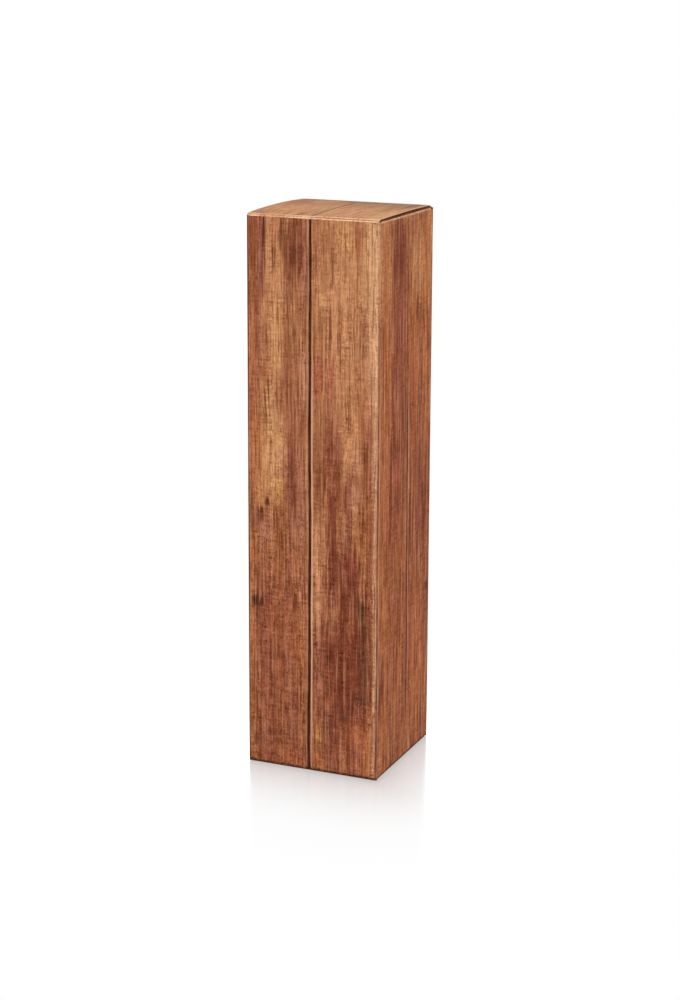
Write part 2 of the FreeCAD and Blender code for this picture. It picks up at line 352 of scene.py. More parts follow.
class Ink(Enum):
    """Inks that make up the plank print, with the colours of its rubbing and of painted highlights, sheen and
    shade.
    """

    GAP = ink(52, 18, 7)
    GAP_LIGHT = ink(214, 166, 138)
    GAP_GREY = ink(168, 122, 100)
    CHARRED = ink(64, 31, 19)
    SMOKE = ink(98, 56, 40)
    DARK = ink(104, 50, 30)
    DARK_RED = ink(112, 54, 37)
    RED_BROWN = ink(139, 76, 53)
    PLUM = ink(132, 76, 64)
    BROWN = ink(150, 95, 63)
    ROSE = ink(172, 88, 70)
    PINK = ink(192, 132, 106)
    ORANGE = ink(182, 107, 64)
    RUST = ink(172, 94, 48)
    STRAW = ink(196, 142, 70)
    GOLDEN = ink(198, 144, 97)
    TAN = ink(192, 133, 91)
    PALE = ink(214, 164, 124)
    # The lid's paler tan is partly the print's own tone and partly painted sheen from the light above; the
    # next ink makes it darker toward the back.
    LID_TAN = ink(184, 134, 86)
    LID_BACK = ink(126, 90, 56)
    # Pale over the folds: partly print cracked through, partly painted highlight where the rounded folds
    # catch the light.
    WORN = ink(250, 202, 160)
    # Painted shade: the contact shadow along the foot, and the shade in pressed grooves, on the lid's far
    # fold and along the base folds.
    PRESSED = ink(72, 36, 20)


Mark = Tuple[float, float, float, float, float]


@dataclass(frozen=True)
class Plate:
    """One ink of the print and its marks.

    A mark is a soft ellipse: its place across and up the blank, its two half sizes and its strength. It is
    full in its core and fades out to its edge, both as shares of its half sizes.
    """

    colour: Ink
    marks: Tuple[Mark, ...]
    core: float = 0.45
    edge: float = 1.15

    def printed(self, r: Recipe, colour: Signal, place: Signal, ragged: Signal) -> Signal:
        """Print this ink over the wood.

        Args:
            r: the recipe.
            colour: the wood so far.
            place: place in the art, in millimetres.
            ragged: noise that frays the marks' edges.

        Returns:
            The wood with that ink.
        """
        mask: Optional[Signal] = None
        ends = {"From Min": self.core, "From Max": self.edge, "To Max": 0.0}
        for u, v, half_u, half_v, strength in self.marks:
            sizes = {1: (1 / half_u, 1 / half_v, 0.0), 2: (-u / half_u, -v / half_v, 0.0)}
            near = r.node("ShaderNodeVectorMath", {"operation": "MULTIPLY_ADD"}, {0: place, **sizes})
            values = {"Value": r.length(near) + ragged, "To Min": strength, **ends}
            spot = r.node("ShaderNodeMapRange", {"interpolation_type": "SMOOTHSTEP"}, values)
            mask = spot if mask is None else r.math("MAXIMUM", mask, spot)
        return r.mix(mask, colour, self.colour.value)


PLATES = (
    Plate(Ink.TAN, (
        (22, 302, 26, 80, 0.75), (-26, 300, 7, 80, 0.70), (26, 228, 9, 34, 0.70), (-27, 215, 11, 45, 0.55),
        (3, 128, 5, 52, 0.70), (-12, 55, 12, 7, 0.35), (112, 325, 15, 30, 0.55), (55, 330, 9, 40, 0.50),
    )),
    Plate(Ink.GOLDEN, (
        (-25, 280, 5, 32, 0.65), (-27, 212, 8, 34, 0.60), (22, 348, 6, 11, 0.50), (6, 308, 5, 9, 0.45),
        (-31, 245, 6, 12, 0.50), (38, 335, 6, 40, 0.50), (105, 325, 6, 20, 0.45), (47.5, 330, 2, 40, 0.50),
        (-20, 430, 12, 14, 0.45),
    )),
    Plate(Ink.ORANGE, (
        (-42, 268, 4.5, 45, 0.55), (-41, 215, 5, 40, 0.55), (-41, 145, 3.5, 15, 0.50),
        (-9, 85, 6, 18, 0.60), (-41.5, 80, 2.5, 24, 0.50), (-14, 6, 10, 13, 0.60), (27, 88, 2.8, 30, 0.80),
        (32, 25, 10, 24, 0.50), (5, 7, 4.5, 10, 0.70), (55, 180, 11, 260, 0.60), (103, 250, 8, 60, 0.45),
        (123.5, 290, 5, 100, 0.75), (112, 55, 20, 66, 0.45), (78, 60, 14, 70, 0.30),
    )),
    Plate(Ink.RUST, (
        (122, 322, 3, 46, 0.75), (61, 250, 4, 44, 0.60), (126, 230, 3, 60, 0.55), (103, 215, 5, 26, 0.60),
        (109, 110, 6, 24, 0.50), (56, 30, 5, 40, 0.45), (92, 190, 58, 180, 0.35), (-36, 418, 8, 30, 0.40),
        (-14, 434, 7, 14, 0.45),
    )),
    Plate(Ink.STRAW, (
        (5, 24, 2.2, 10, 0.60), (-23, 184, 4, 9, 0.25), (118, 120, 4, 12, 0.40), (34, 385, 6, 26, 0.30),
    )),
    Plate(Ink.PINK, (
        (-5, 258, 2.8, 24, 0.60), (31, 207, 3.2, 9, 0.50), (11.5, 30, 1.8, 17, 0.50),
        (20.5, 16, 1.2, 14, 0.50), (-30, 158, 6, 8, 0.35), (-9, 160, 4, 12, 0.40), (30, 183, 6, 9, 0.35),
        (95.5, 215, 1.6, 50, 0.50), (16, 382, 13, 24, 0.30),
    )),
    Plate(Ink.RED_BROWN, (
        (-39, 330, 9, 50, 0.70), (-24, 65, 27, 100, 0.62), (13, 185, 5.5, 62, 0.80), (24, 70, 24, 74, 0.70),
        (31, 345, 2.5, 24, 0.60), (35.5, 292, 3, 11, 0.50), (78, 250, 15, 140, 0.85),
        (-12, 225, 1.5, 16, 0.60), (-10, 67, 8, 3.5, 0.45), (-8, 48, 8, 3.5, 0.45), (104, 170, 9, 60, 0.40),
        (92, 150, 52, 130, 0.42), (132, 70, 5, 50, 0.45),
    )),
    Plate(Ink.BROWN, (
        (5, 212, 5.5, 30, 0.60), (-33, 285, 3, 14, 0.45), (-14, 288, 8, 36, 0.45), (9, 338, 8, 24, 0.45),
        (-30, 138, 8, 9, 0.35), (-3, 425, 4, 18, 0.35), (22, 441, 14, 6, 0.35),
    )),
    Plate(Ink.ROSE, (
        (4.5, 258, 3.2, 18, 0.55), (12, 258, 2.8, 19, 0.55), (28.5, 142, 4, 9, 0.70),
        (36, 292, 2.2, 8, 0.40), (74, 196, 8, 12, 0.50),
    )),
    Plate(Ink.PLUM, (
        (-34.5, 333, 3.2, 34, 0.75), (-38, 165, 4, 9, 0.80), (-13, 186, 3, 8, 0.55),
        (114, 205, 5, 95, 0.65), (31, 17, 6, 7, 0.50),
    )),
    Plate(Ink.DARK_RED, (
        (22, 128, 16, 30, 0.75), (23, 72, 19, 40, 0.75), (16, 30, 8, 26, 0.45), (76, 347, 13, 32, 0.60),
        (122.5, 166, 4.0, 34, 0.95), (36, 214, 2.2, 11, 0.60), (13.5, 172, 3, 14, 0.50),
        (68.5, 325, 2.2, 32, 0.65), (84, 346, 6, 14, 0.55), (91.5, 300, 2.2, 52, 0.60),
        (70, 212, 3, 16, 0.75), (86, 225, 2, 30, 0.45), (98.5, 165, 2.4, 46, 0.70),
        (132.5, 180, 2.6, 60, 0.55), (81, 105, 3, 40, 0.30), (37, 432, 2.6, 22, 0.60),
        (31, 418, 1.6, 26, 0.45), (42, 420, 1.8, 30, 0.55), (-6, 440, 3, 14, 0.40), (9, 442, 3, 12, 0.40),
    )),
    Plate(Ink.SMOKE, (
        (35.5, 80, 5, 38, 0.70), (35, 53, 7, 6, 0.80), (22, 41, 4.5, 6, 0.80),
    )),
    Plate(Ink.DARK, (
        (-14, 343, 10, 26, 0.55), (-12.5, 178, 2.4, 18, 0.70), (-8, 215, 1.6, 17, 0.45),
        (13.5, 217, 2.4, 5, 0.65), (22.5, 182, 1.5, 11, 0.55), (35, 166, 3.4, 3.4, 0.55),
        (-35, 168, 3.4, 6, 0.65), (-10, 124, 1.4, 8, 0.60), (-12, 111, 1.8, 7, 0.65),
        (-20, 75, 1.3, 6, 0.65), (-17.5, 38, 1.7, 5, 0.55), (-13, 16, 1.6, 6, 0.55), (-30, 6, 2.2, 6, 0.50),
        (17, 32, 1.0, 20, 0.65), (20, 72, 1.2, 38, 0.60), (13, 80, 1.0, 28, 0.60),
        (-37.5, 104, 2.8, 7, 0.50), (65.5, 190, 2.8, 38, 0.75), (53.5, 66, 3.2, 24, 0.80),
        (49.8, 55, 2.4, 20, 0.70), (108.5, 295, 2.4, 8, 0.70), (112.5, 290, 2.0, 7, 0.55),
        (57, 130, 5, 5, 0.35), (6, 285, 1.2, 18, 0.50), (37, 278, 3, 5, 0.40), (47.2, 295, 0.9, 40, 0.60),
        (46.9, 165, 0.8, 45, 0.60), (47.0, 60, 1.0, 62, 0.70),
    )),
    Plate(Ink.CHARRED, (
        (-33.3, 350, 1.4, 16, 0.85), (-22, 346, 1.5, 12, 0.55), (-12, 333, 3, 9, 0.45),
        (-30.6, 176, 2.4, 3.2, 0.80), (-35.5, 170, 2.2, 3.4, 0.65), (-28.5, 172, 1.2, 2.0, 0.50),
        (-38.0, 110, 4.6, 5.0, 0.95), (-39.5, 18, 2.2, 7, 0.65), (35, 112, 3.4, 11, 0.85),
        (36.5, 97, 2.2, 9, 0.55), (28, 47, 1.8, 7, 0.60), (129, 108, 3.4, 4.5, 0.75),
    )),
    # Painted highlight down the rounded front right corner; elsewhere this ink is the grain's pale lines.
    Plate(Ink.PALE, (
        (43.0, 330, 2.0, 250, 0.70), (43.2, 60, 1.6, 160, 0.50), (41.0, 320, 5.5, 110, 0.50),
        (42.5, 215, 3.0, 45, 0.50),
    )),
)


@dataclass(frozen=True)
class Gap:
    """A printed gap between two planks, with a light edge on its right and a grey one on its left.

    It has a place across the art at the foot, a half width, a darkness, a lightness of its right edge, two
    heights between which it fades out upward, a lean, a share that is broken up, its ink, and two heights
    between which it fades in at the foot. The rest is alike for all gaps: they are thinner on the lid, and
    fainter there under the lid's painted sheen, and wider at the foot, and each edge is full to one distance
    from the gap and gone at another.
    """

    across: float
    half_width: float
    dark: float
    light: float
    fade: Pair = (900.0, 1000.0)
    lean: float = 0.0
    broken: float = 0.0
    colour: Ink = Ink.GAP
    foot: Pair = (-60.0, -50.0)
    dash_length: float = 13.0
    dash_cut: Pair = (0.40, 0.56)
    lid_sheen_fainter: float = 0.25
    lid_thinner: float = 0.3
    foot_wider: float = 0.35
    foot_height: float = 110.0
    frayed: float = 0.5
    soft: Pair = (0.35, -0.25)
    edge_rise: float = 0.3
    light_edge: Pair = (0.5, 1.7)
    grey_edge: Pair = (0.7, 2.0)
    grey_share: float = 0.5
    bright_top: Pair = (330.0, 230.0)
    bright_foot: Pair = (0.0, 70.0)
    dim: float = 0.45
    tone: Pair = (1.15, 0.45)

    def edge(self, beside: Signal, full: float, gone: float) -> Signal:
        """Strip beside the gap, from 0 to 1."""
        half = self.half_width
        return beside.step(half, half + self.edge_rise) * beside.step(half + gone, half + full)

    def printed(self, r: Recipe, colour: Signal, u: Signal, v: Signal, lid: Signal, fine: Signal) -> Signal:
        """Print this gap over the wood.

        Args:
            r: the recipe.
            colour: the wood so far.
            u, v: place in the art, in millimetres.
            lid: 1 on the lid.
            fine: noise along the grain, which breaks the gap's tone.

        Returns:
            The wood with the gap.
        """
        off = u - self.across - v * self.lean
        dash = r.cloud(r.vector(v / self.dash_length, self.across), rough=0.6).step(*self.dash_cut)
        # The gap is fainter on the lid: painted sheen.
        shown = v.step(self.fade[1], self.fade[0]) * v.step(*self.foot) * (1.0 - lid * self.lid_sheen_fainter)
        shown = shown * (1.0 - self.broken + dash * self.broken)
        wider = v.step(self.foot_height, 0.0) * self.foot_wider
        width = abs(off + wider) - wider + lid * self.lid_thinner + (fine - 0.5) * self.frayed
        dark = width.step(self.half_width + self.soft[0], self.half_width + self.soft[1])
        bright = self.dim + v.step(*self.bright_foot) * (1.0 - self.dim)
        light = self.edge(off, *self.light_edge) * v.step(*self.bright_top) * bright * self.light
        grey = self.edge(0.0 - off, *self.grey_edge) * (self.light * self.grey_share)
        colour = r.mix(light * shown, colour, Ink.GAP_LIGHT.value)
        colour = r.mix(grey * shown, colour, Ink.GAP_GREY.value)
        tone = self.tone[0] - fine * self.tone[1]
        return r.mix(dark * shown * self.dark * tone, colour, self.colour.value)


GAPS = (
    Gap(-45.0, 1.20, 0.85, 0.10),
    Gap(-1.4, 0.85, 1.00, 0.85),
    Gap(45.2, 0.65, 0.95, 0.75, (240.0, 345.0), broken=0.35, colour=Ink.DARK),
    Gap(95.6, 1.15, 0.72, 0.45, (225.0, 275.0), -0.0135, 0.3, foot=(15.0, 50.0)),
    Gap(135.0, 1.50, 0.80, 0.10),
)

RED_WOOD = (
    (0.0, ink(112, 60, 46)),
    (0.45, ink(150, 90, 67)),
    (0.75, ink(172, 110, 80)),
    (1.0, ink(198, 146, 112)),
)
GOLD_WOOD = (
    (0.0, ink(116, 62, 37)),
    (0.45, ink(158, 97, 60)),
    (0.75, ink(184, 125, 82)),
    (1.0, ink(206, 156, 110)),
)


@dataclass(frozen=True)
class Layer:
    """Noise on the planks.

    It has a swing across and along the grain in millimetres, a number and a weight of finer layers, and a
    shift that sets it apart from others.
    """

    across: float
    along: float
    detail: float = 2.0
    rough: float = 0.5
    shift: Pair = (0.0, 0.0)


class Grain(Enum):
    """Layers of noise that make up the grain."""

    WANDER = Layer(14.0, 90.0, 1.0)
    RIPPLE = Layer(4.0, 22.0, 1.0)
    BROAD = Layer(6.0, 80.0, 3.0, 0.55)
    HUE = Layer(9.0, 110.0, shift=(31.0, 0.0))
    STREAK = Layer(2.2, 68.0, 4.0, 0.66)
    FINE = Layer(1.0, 17.0, 2.0, 0.6, (11.0, 0.0))
    LINES = Layer(1.15, 44.0, 2.0, 0.55, (3.0, 0.0))
    PORES = Layer(0.9, 6.0, 1.0, shift=(7.0, 0.0))
    MOTTLE = Layer(5.0, 11.0, 3.0, 0.6, (17.0, 0.0))
    SAWN = Layer(6.5, 1.6, 1.0)
    BAND = Layer(9.0, 4.0, 2.0, 0.6)
    HAIR = Layer(0.42, 7.0, 1.0, shift=(5.0, 0.0))
    SPECK = Layer(1.2, 1.6, 2.0, 0.6, (19.0, 0.0))
    PATCH = Layer(9.0, 26.0, shift=(3.0, 5.0))
    # Patches of the folds' rubbing and painted highlights, and of the painted shade at the folds and the
    # foot.
    WORN = Layer(2.2, 1.8, 3.0, 0.65)


@dataclass(frozen=True)
class Shade:
    """Weight of a layer in the wood's tone: everywhere, and added where it is busy and where it is rough."""

    kind: Grain
    plain: float
    busy: float
    rough: float


SHADES = (
    Shade(Grain.HAIR, 0.50, 0.0, 0.0),
    Shade(Grain.MOTTLE, 0.50, 0.0, 0.50),
    Shade(Grain.SPECK, 0.70, 0.50, 0.60),
    Shade(Grain.SAWN, 0.35, 0.40, 0.12),
    Shade(Grain.BAND, 0.42, 0.0, 0.40),
)


@dataclass(frozen=True)
class Fibre:
    """Place on a plank in millimetres and the grain there.

    The grain has two layers of noise, a weight, a roughness, and millimetres by which its lines are wider.
    The rest is alike everywhere: the weights of the two layers, the darkest tone, how far a tone shows in
    red, green and blue, and the spans of noise and shares of ink for busy places, lines and pores.
    """

    across: Signal
    along: Signal
    streak: Signal
    fine: Signal
    weight: Signal
    rough: Signal
    wider: Signal
    streak_weight: float = 1.05
    fine_weight: float = 1.15
    darkest: float = -0.7
    tint: Tuple[float, float, float] = (0.88, 1.06, 1.14)
    busy_span: Pair = (0.38, 0.64)
    pale_span: Pair = (0.42, 0.28)
    dark_span: Pair = (0.55, 0.68)
    pore_span: Pair = (0.60, 0.76)
    pale_share: float = 0.26
    dark_share: float = 0.45
    pore_share: float = 0.20
    busy_share: float = 0.35

    def printed(self, r: Recipe, colour: Signal) -> Signal:
        """Print fine grain, dark and light lines along it, and saw marks across it.

        Args:
            r: the recipe.
            colour: the wood so far.

        Returns:
            The wood with its grain.
        """
        at = (self.across, self.along)
        lines = r.grain(Grain.LINES, *at, self.wider)
        pores = r.grain(Grain.PORES, *at).step(*self.pore_span)
        busy = r.grain(Grain.PATCH, *at).step(*self.busy_span)
        tone = (self.streak - 0.5) * self.streak_weight + (self.fine - 0.5) * self.fine_weight
        for shade in SHADES:
            share = busy * shade.busy + self.rough * shade.rough + shade.plain
            tone = tone + (r.grain(shade.kind, *at) - 0.5) * share
        tone = r.math("MAXIMUM", tone * self.weight, self.darkest)
        colour = r.mix(1.0, colour, r.vector(*(1.0 + tone * part for part in self.tint)), "MULTIPLY")
        pale = lines.step(*self.pale_span) * self.weight * self.pale_share
        dark = lines.step(*self.dark_span) * self.weight * (self.dark_share + busy * self.busy_share)
        pores = pores * self.weight * (self.pore_share + busy * self.busy_share)
        colour = r.mix(pale, colour, Ink.PALE.value)
        colour = r.mix(dark, colour, Ink.DARK.value)
        return r.mix(pores, colour, Ink.DARK.value)


@dataclass(frozen=True)
class PlankPrint:
    """Matt print of upright planks on the printed liner, read from each point's place on the blank.

    The art covers the front wall, the right wall and the lid, and comes again, head down, on the other walls.
    From side_from on it is the right wall's, with wider and smoother grain. A sway gives the weights of slow
    and quick wander across the grain, and lid heights count from the top of the wall. The lid's paler tan and
    its weaker grain are partly painted sheen. The relief has weights of fine grain, streaks and flutes.
    Rubbing, painted highlights and painted shade along the folds, and the painted contact shadow at the foot,
    are patchy, and each kind has a slope and a start of its patches.
    """

    first_gap: float = -1.4
    pitch: float = 46.9
    plank_shift: float = 137.0
    plank_sway: float = 0.7
    grain_sway: Pair = (2.2, 0.9)
    gap_sway: Pair = (0.9, 0.4)
    flute_pitch: float = 2.4
    art_low: float = -45.0
    art_high: float = 135.0
    side_from: float = 46.5
    side_streak: float = 1.0
    side_lines: float = 1.25
    side_smooth: float = 0.75
    height: float = 359.0
    lid_start: Pair = (-1.0, 3.0)
    lid_far: Pair = (25.0, 95.0)
    lid_half_width: float = 45.1
    lid_share: float = 0.82
    lid_sheen_washout: float = 0.45
    tone_level: float = 0.48
    tone_swing: float = 1.25
    tone_rise: float = 0.20
    hue_span: Pair = (0.36, 0.64)
    mark_sway: float = 14.0
    mark_ragged: Pair = (1.1, 0.5)
    rough_span: Pair = (240.0, 110.0)
    relief_depth: float = 0.012
    relief_shares: Tuple[float, float, float] = (0.45, 0.25, 0.30)
    roughness: float = 0.56
    fine_rough: float = 0.12
    broad_rough: float = 0.08
    shine: float = 0.02
    # Painted contact shadow along the foot: its heights above and below, its patches and its strength.
    foot_shadow_above: Pair = (3.2, 1.4)
    foot_shadow_below: Pair = (-1.7, -0.3)
    foot_shadow_patches: Pair = (3.0, 0.55)
    foot_shadow_share: float = 0.95
    pale_patches: Pair = (2.6, 0.45)
    pale_share: float = 0.88
    shade_patches: Pair = (1.1, 0.35)

    def material(self) -> bpy.types.Material:
        """Build the print.

        Returns:
            The material.
        """
        r = Recipe.named("plank_print")
        u, v = (part * METRE for part in r.parts(r.attribute("blank", "Vector"))[:2])
        before = r.math("LESS_THAN", u, self.art_low)
        after = r.math("GREATER_THAN", u, self.art_high)
        art_u = u + (before - after) * (self.art_high - self.art_low)
        art_v = v + (before + after) * (self.height - v * 2.0)
        aside = r.math("GREATER_THAN", art_u, self.side_from)
        start, far = ((v - self.height).step(*span) for span in (self.lid_start, self.lid_far))
        lid = start * r.math("LESS_THAN", abs(u), self.lid_half_width)

        wander = r.grain(Grain.WANDER, u, v) - 0.5
        ripple = r.grain(Grain.RIPPLE, u, v) - 0.5
        plank = ((u + wander * self.plank_sway - self.first_gap) / self.pitch).floor()
        sway = wander * self.grain_sway[0] + ripple * self.grain_sway[1]
        gap_u = art_u + wander * self.gap_sway[0] + ripple * self.gap_sway[1]
        at = (u + sway, v + plank * self.plank_shift)
        broad = r.grain(Grain.BROAD, *at)
        hue = r.grain(Grain.HUE, *at)
        streak = r.grain(Grain.STREAK, *at, aside * self.side_streak)
        fine = r.grain(Grain.FINE, *at)

        # Lighter toward the top of the art: partly the print's own fade, partly painted light from above.
        rise = (art_v / self.height - 0.5) * self.tone_rise
        tone = (self.tone_level + (broad - 0.5) * self.tone_swing + rise).clamped()
        red = r.node("ShaderNodeValToRGB", {"stops": RED_WOOD}, {0: tone})
        gold = r.node("ShaderNodeValToRGB", {"stops": GOLD_WOOD}, {0: tone})
        colour = r.mix(hue.step(*self.hue_span), red, gold)
        # Lid: a paler tan, partly painted sheen, turning darker toward the back.
        colour = r.mix(lid * self.lid_share, colour, r.mix(far, Ink.LID_TAN.value, Ink.LID_BACK.value))
        place = r.vector(art_u + sway, art_v + (streak - 0.5) * self.mark_sway)
        ragged = (streak - 0.5) * self.mark_ragged[0] + (fine - 0.5) * self.mark_ragged[1]
        for plate in PLATES:
            colour = plate.printed(r, colour, place, ragged)
        rough = art_v.step(*self.rough_span) * (1.0 - aside * self.side_smooth)
        # Weaker grain on the lid: painted sheen washing it out.
        weight = 1.0 - lid * self.lid_sheen_washout
        colour = Fibre(*at, streak, fine, weight, rough, aside * self.side_lines).printed(r, colour)
        for gap in GAPS:
            colour = gap.printed(r, colour, gap_u, art_v, lid, fine)

        fine_share, streak_share, rib_share = self.relief_shares
        height = fine * fine_share + streak * streak_share + r.ribs(u, self.flute_pitch) * rib_share
        return r.surface(
            Base_Color=self.worn(r, colour, u, v),
            Roughness=self.roughness + (1.0 - fine) * self.fine_rough + (broad - 0.5) * self.broad_rough,
            Normal=r.relief(height, self.relief_depth),
            Specular_IOR_Level=self.shine,
        )

    def worn(self, r: Recipe, colour: Signal, u: Signal, v: Signal) -> Signal:
        """Pale where the print is cracked along folds, partly painted highlight; painted shade in the grooves
        and on the far and base folds; and a painted contact shadow along the foot.

        Args:
            r: the recipe.
            colour: the print so far.
            u, v: place on the blank, in millimetres.

        Returns:
            The print with its rubbing and painted light.
        """
        wear_and_light = r.attribute("wear_and_light", "Fac")
        patchy = r.grain(Grain.WORN, u, v)
        # Painted contact shadow along the foot.
        foot = v.step(*self.foot_shadow_above) * v.step(*self.foot_shadow_below)
        foot = (foot * (patchy * self.foot_shadow_patches[0] - self.foot_shadow_patches[1])).clamped() * self.foot_shadow_share
        # Pale rubbing and painted highlight over the folds.
        pale = (wear_and_light * (patchy * self.pale_patches[0] - self.pale_patches[1])).clamped() * self.pale_share
        # Painted shade in the grooves and on the far and base folds.
        dark = (wear_and_light * (-self.shade_patches[1] - patchy * self.shade_patches[0])).clamped()
        colour = r.mix(foot, colour, Ink.PRESSED.value)
        colour = r.mix(pale, colour, Ink.WORN.value)
        return r.mix(dark, colour, Ink.PRESSED.value)


class RibAxis(Enum):
    """Direction across the flutes of a panel."""

    X = 0
    Y = 1


@dataclass(frozen=True)
class Kraft:
    """Raw brown paper with fibres, specks and the faint ribs of the flutes behind it.

    Clouds, fibres and specks have a level and an upright size in millimetres, and the fibres lean by shares
    of their height. The tone has weights of clouds, fibres and ribs, and the relief of fibres and ribs.
    """

    name: str
    dark: Colour
    light: Colour
    rib_axis: RibAxis = RibAxis.X
    rib_depth: float = 0.02
    flute_pitch: float = 2.4
    speck: Colour = ink(104, 72, 46)
    cloud_size: Pair = (18.0, 18.0)
    fibre_size: Pair = (0.8, 5.0)
    fibre_lean: Pair = (0.08, -0.064)
    speck_size: Pair = (0.7, 0.9)
    speck_span: Pair = (0.70, 0.78)
    speck_share: float = 0.5
    tone_shares: Tuple[float, float, float] = (0.7, 0.9, 0.10)
    relief_shares: Pair = (0.35, 0.65)
    roughness: float = 0.78
    fibre_rough: float = 0.2
    shine: float = 0.08

    def material(self) -> bpy.types.Material:
        """Build the paper.

        Returns:
            The material.
        """
        r = Recipe.named(self.name)
        x, y, z = r.place()
        leaning = (x + z * self.fibre_lean[0], y + z * self.fibre_lean[1], z)
        cloudy = r.solid((x, y, z), self.cloud_size, 3.0, 0.6)
        fibre = r.solid(leaning, self.fibre_size, 3.0, 0.65)
        speck = r.solid((x, y, z), self.speck_size, 1.0, 0.5)
        ribs = r.ribs((x, y)[self.rib_axis.value], self.flute_pitch)
        tone = 0.5
        for part, share in zip((cloudy, fibre, ribs), self.tone_shares):
            tone = tone + (part - 0.5) * share
        colour = r.mix(tone.clamped(), self.dark, self.light)
        height = fibre * self.relief_shares[0] + ribs * self.relief_shares[1]
        return r.surface(
            Base_Color=r.mix(speck.step(*self.speck_span) * self.speck_share, colour, self.speck),
            Roughness=self.roughness + (fibre - 0.5) * self.fibre_rough,
            Normal=r.relief(height, self.rib_depth),
            Specular_IOR_Level=self.shine,
        )


@dataclass(frozen=True)
class GlueFilm:
    """Dried glue, pale and a little glossy."""

    name: str = "glue_film"
    dark: Colour = ink(206, 190, 152)
    light: Colour = ink(236, 228, 204)
    smear_size: Pair = (4.0, 11.0)
    roughness: float = 0.32
    smear_rough: float = 0.25
    depth: float = 0.05

    def material(self) -> bpy.types.Material:
        """Build the film.

        Returns:
            The material.
        """
        r = Recipe.named(self.name)
        smear = r.solid(r.place(), self.smear_size, 3.0, 0.6)
        return r.surface(
            Base_Color=r.mix(smear, self.dark, self.light),
            Roughness=self.roughness + smear * self.smear_rough,
            Normal=r.relief(smear, self.depth),
        )


class Finishes:
    """Every finish of the carton, made once."""

    def __init__(self) -> None:
        """Make the materials."""
        self.print = PlankPrint().material()
        inner = (ink(164, 122, 80), ink(200, 160, 114))
        # Cut edges are dark brown: partly a dark kraft, partly painted shade of the slot under the lid.
        cut = (ink(92, 50, 22), ink(126, 78, 40))
        crease = (ink(140, 100, 62), ink(180, 138, 92))
        # The fluting is darker than the liners: painted shade in the hollow flutes.
        core = (ink(70, 36, 16), ink(104, 62, 32))
        self.liner = {}
        for axis in RibAxis:
            self.liner[axis] = Kraft(f"kraft_liner_{axis.name.lower()}", *inner, axis).material()
        self.cut = Kraft("shaded_kraft_cut_edge", *cut, rib_depth=0.005).material()
        self.crease = Kraft("kraft_crease", *crease, rib_depth=0.004).material()
        self.fluting = Kraft("shaded_kraft_fluting", *core, rib_depth=0.004).material()
        self.glue = GlueFilm().material()

    def dress_packed(self, nodes: Dict[str, bpy.types.Object]) -> None:
        """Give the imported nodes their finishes.

        Args:
            nodes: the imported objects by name.
        """
        for name, packed in nodes.items():
            if name.endswith("_fluting"):
                chosen = self.fluting
            elif name.endswith("_glue"):
                chosen = self.glue
            else:
                sideways = name.startswith(("left", "right", "base_left", "base_right"))
                chosen = self.liner[RibAxis.Y if sideways else RibAxis.X]
            packed.data.materials.clear()
            packed.data.materials.append(chosen)


@dataclass
class Station:
    """A place on a piece of board: its two faces, its place on the blank, and its rubbing and painted light.
    """

    outer: Vector
    inner: Vector
    blank: Pair
    wear_and_light: float = 0.0


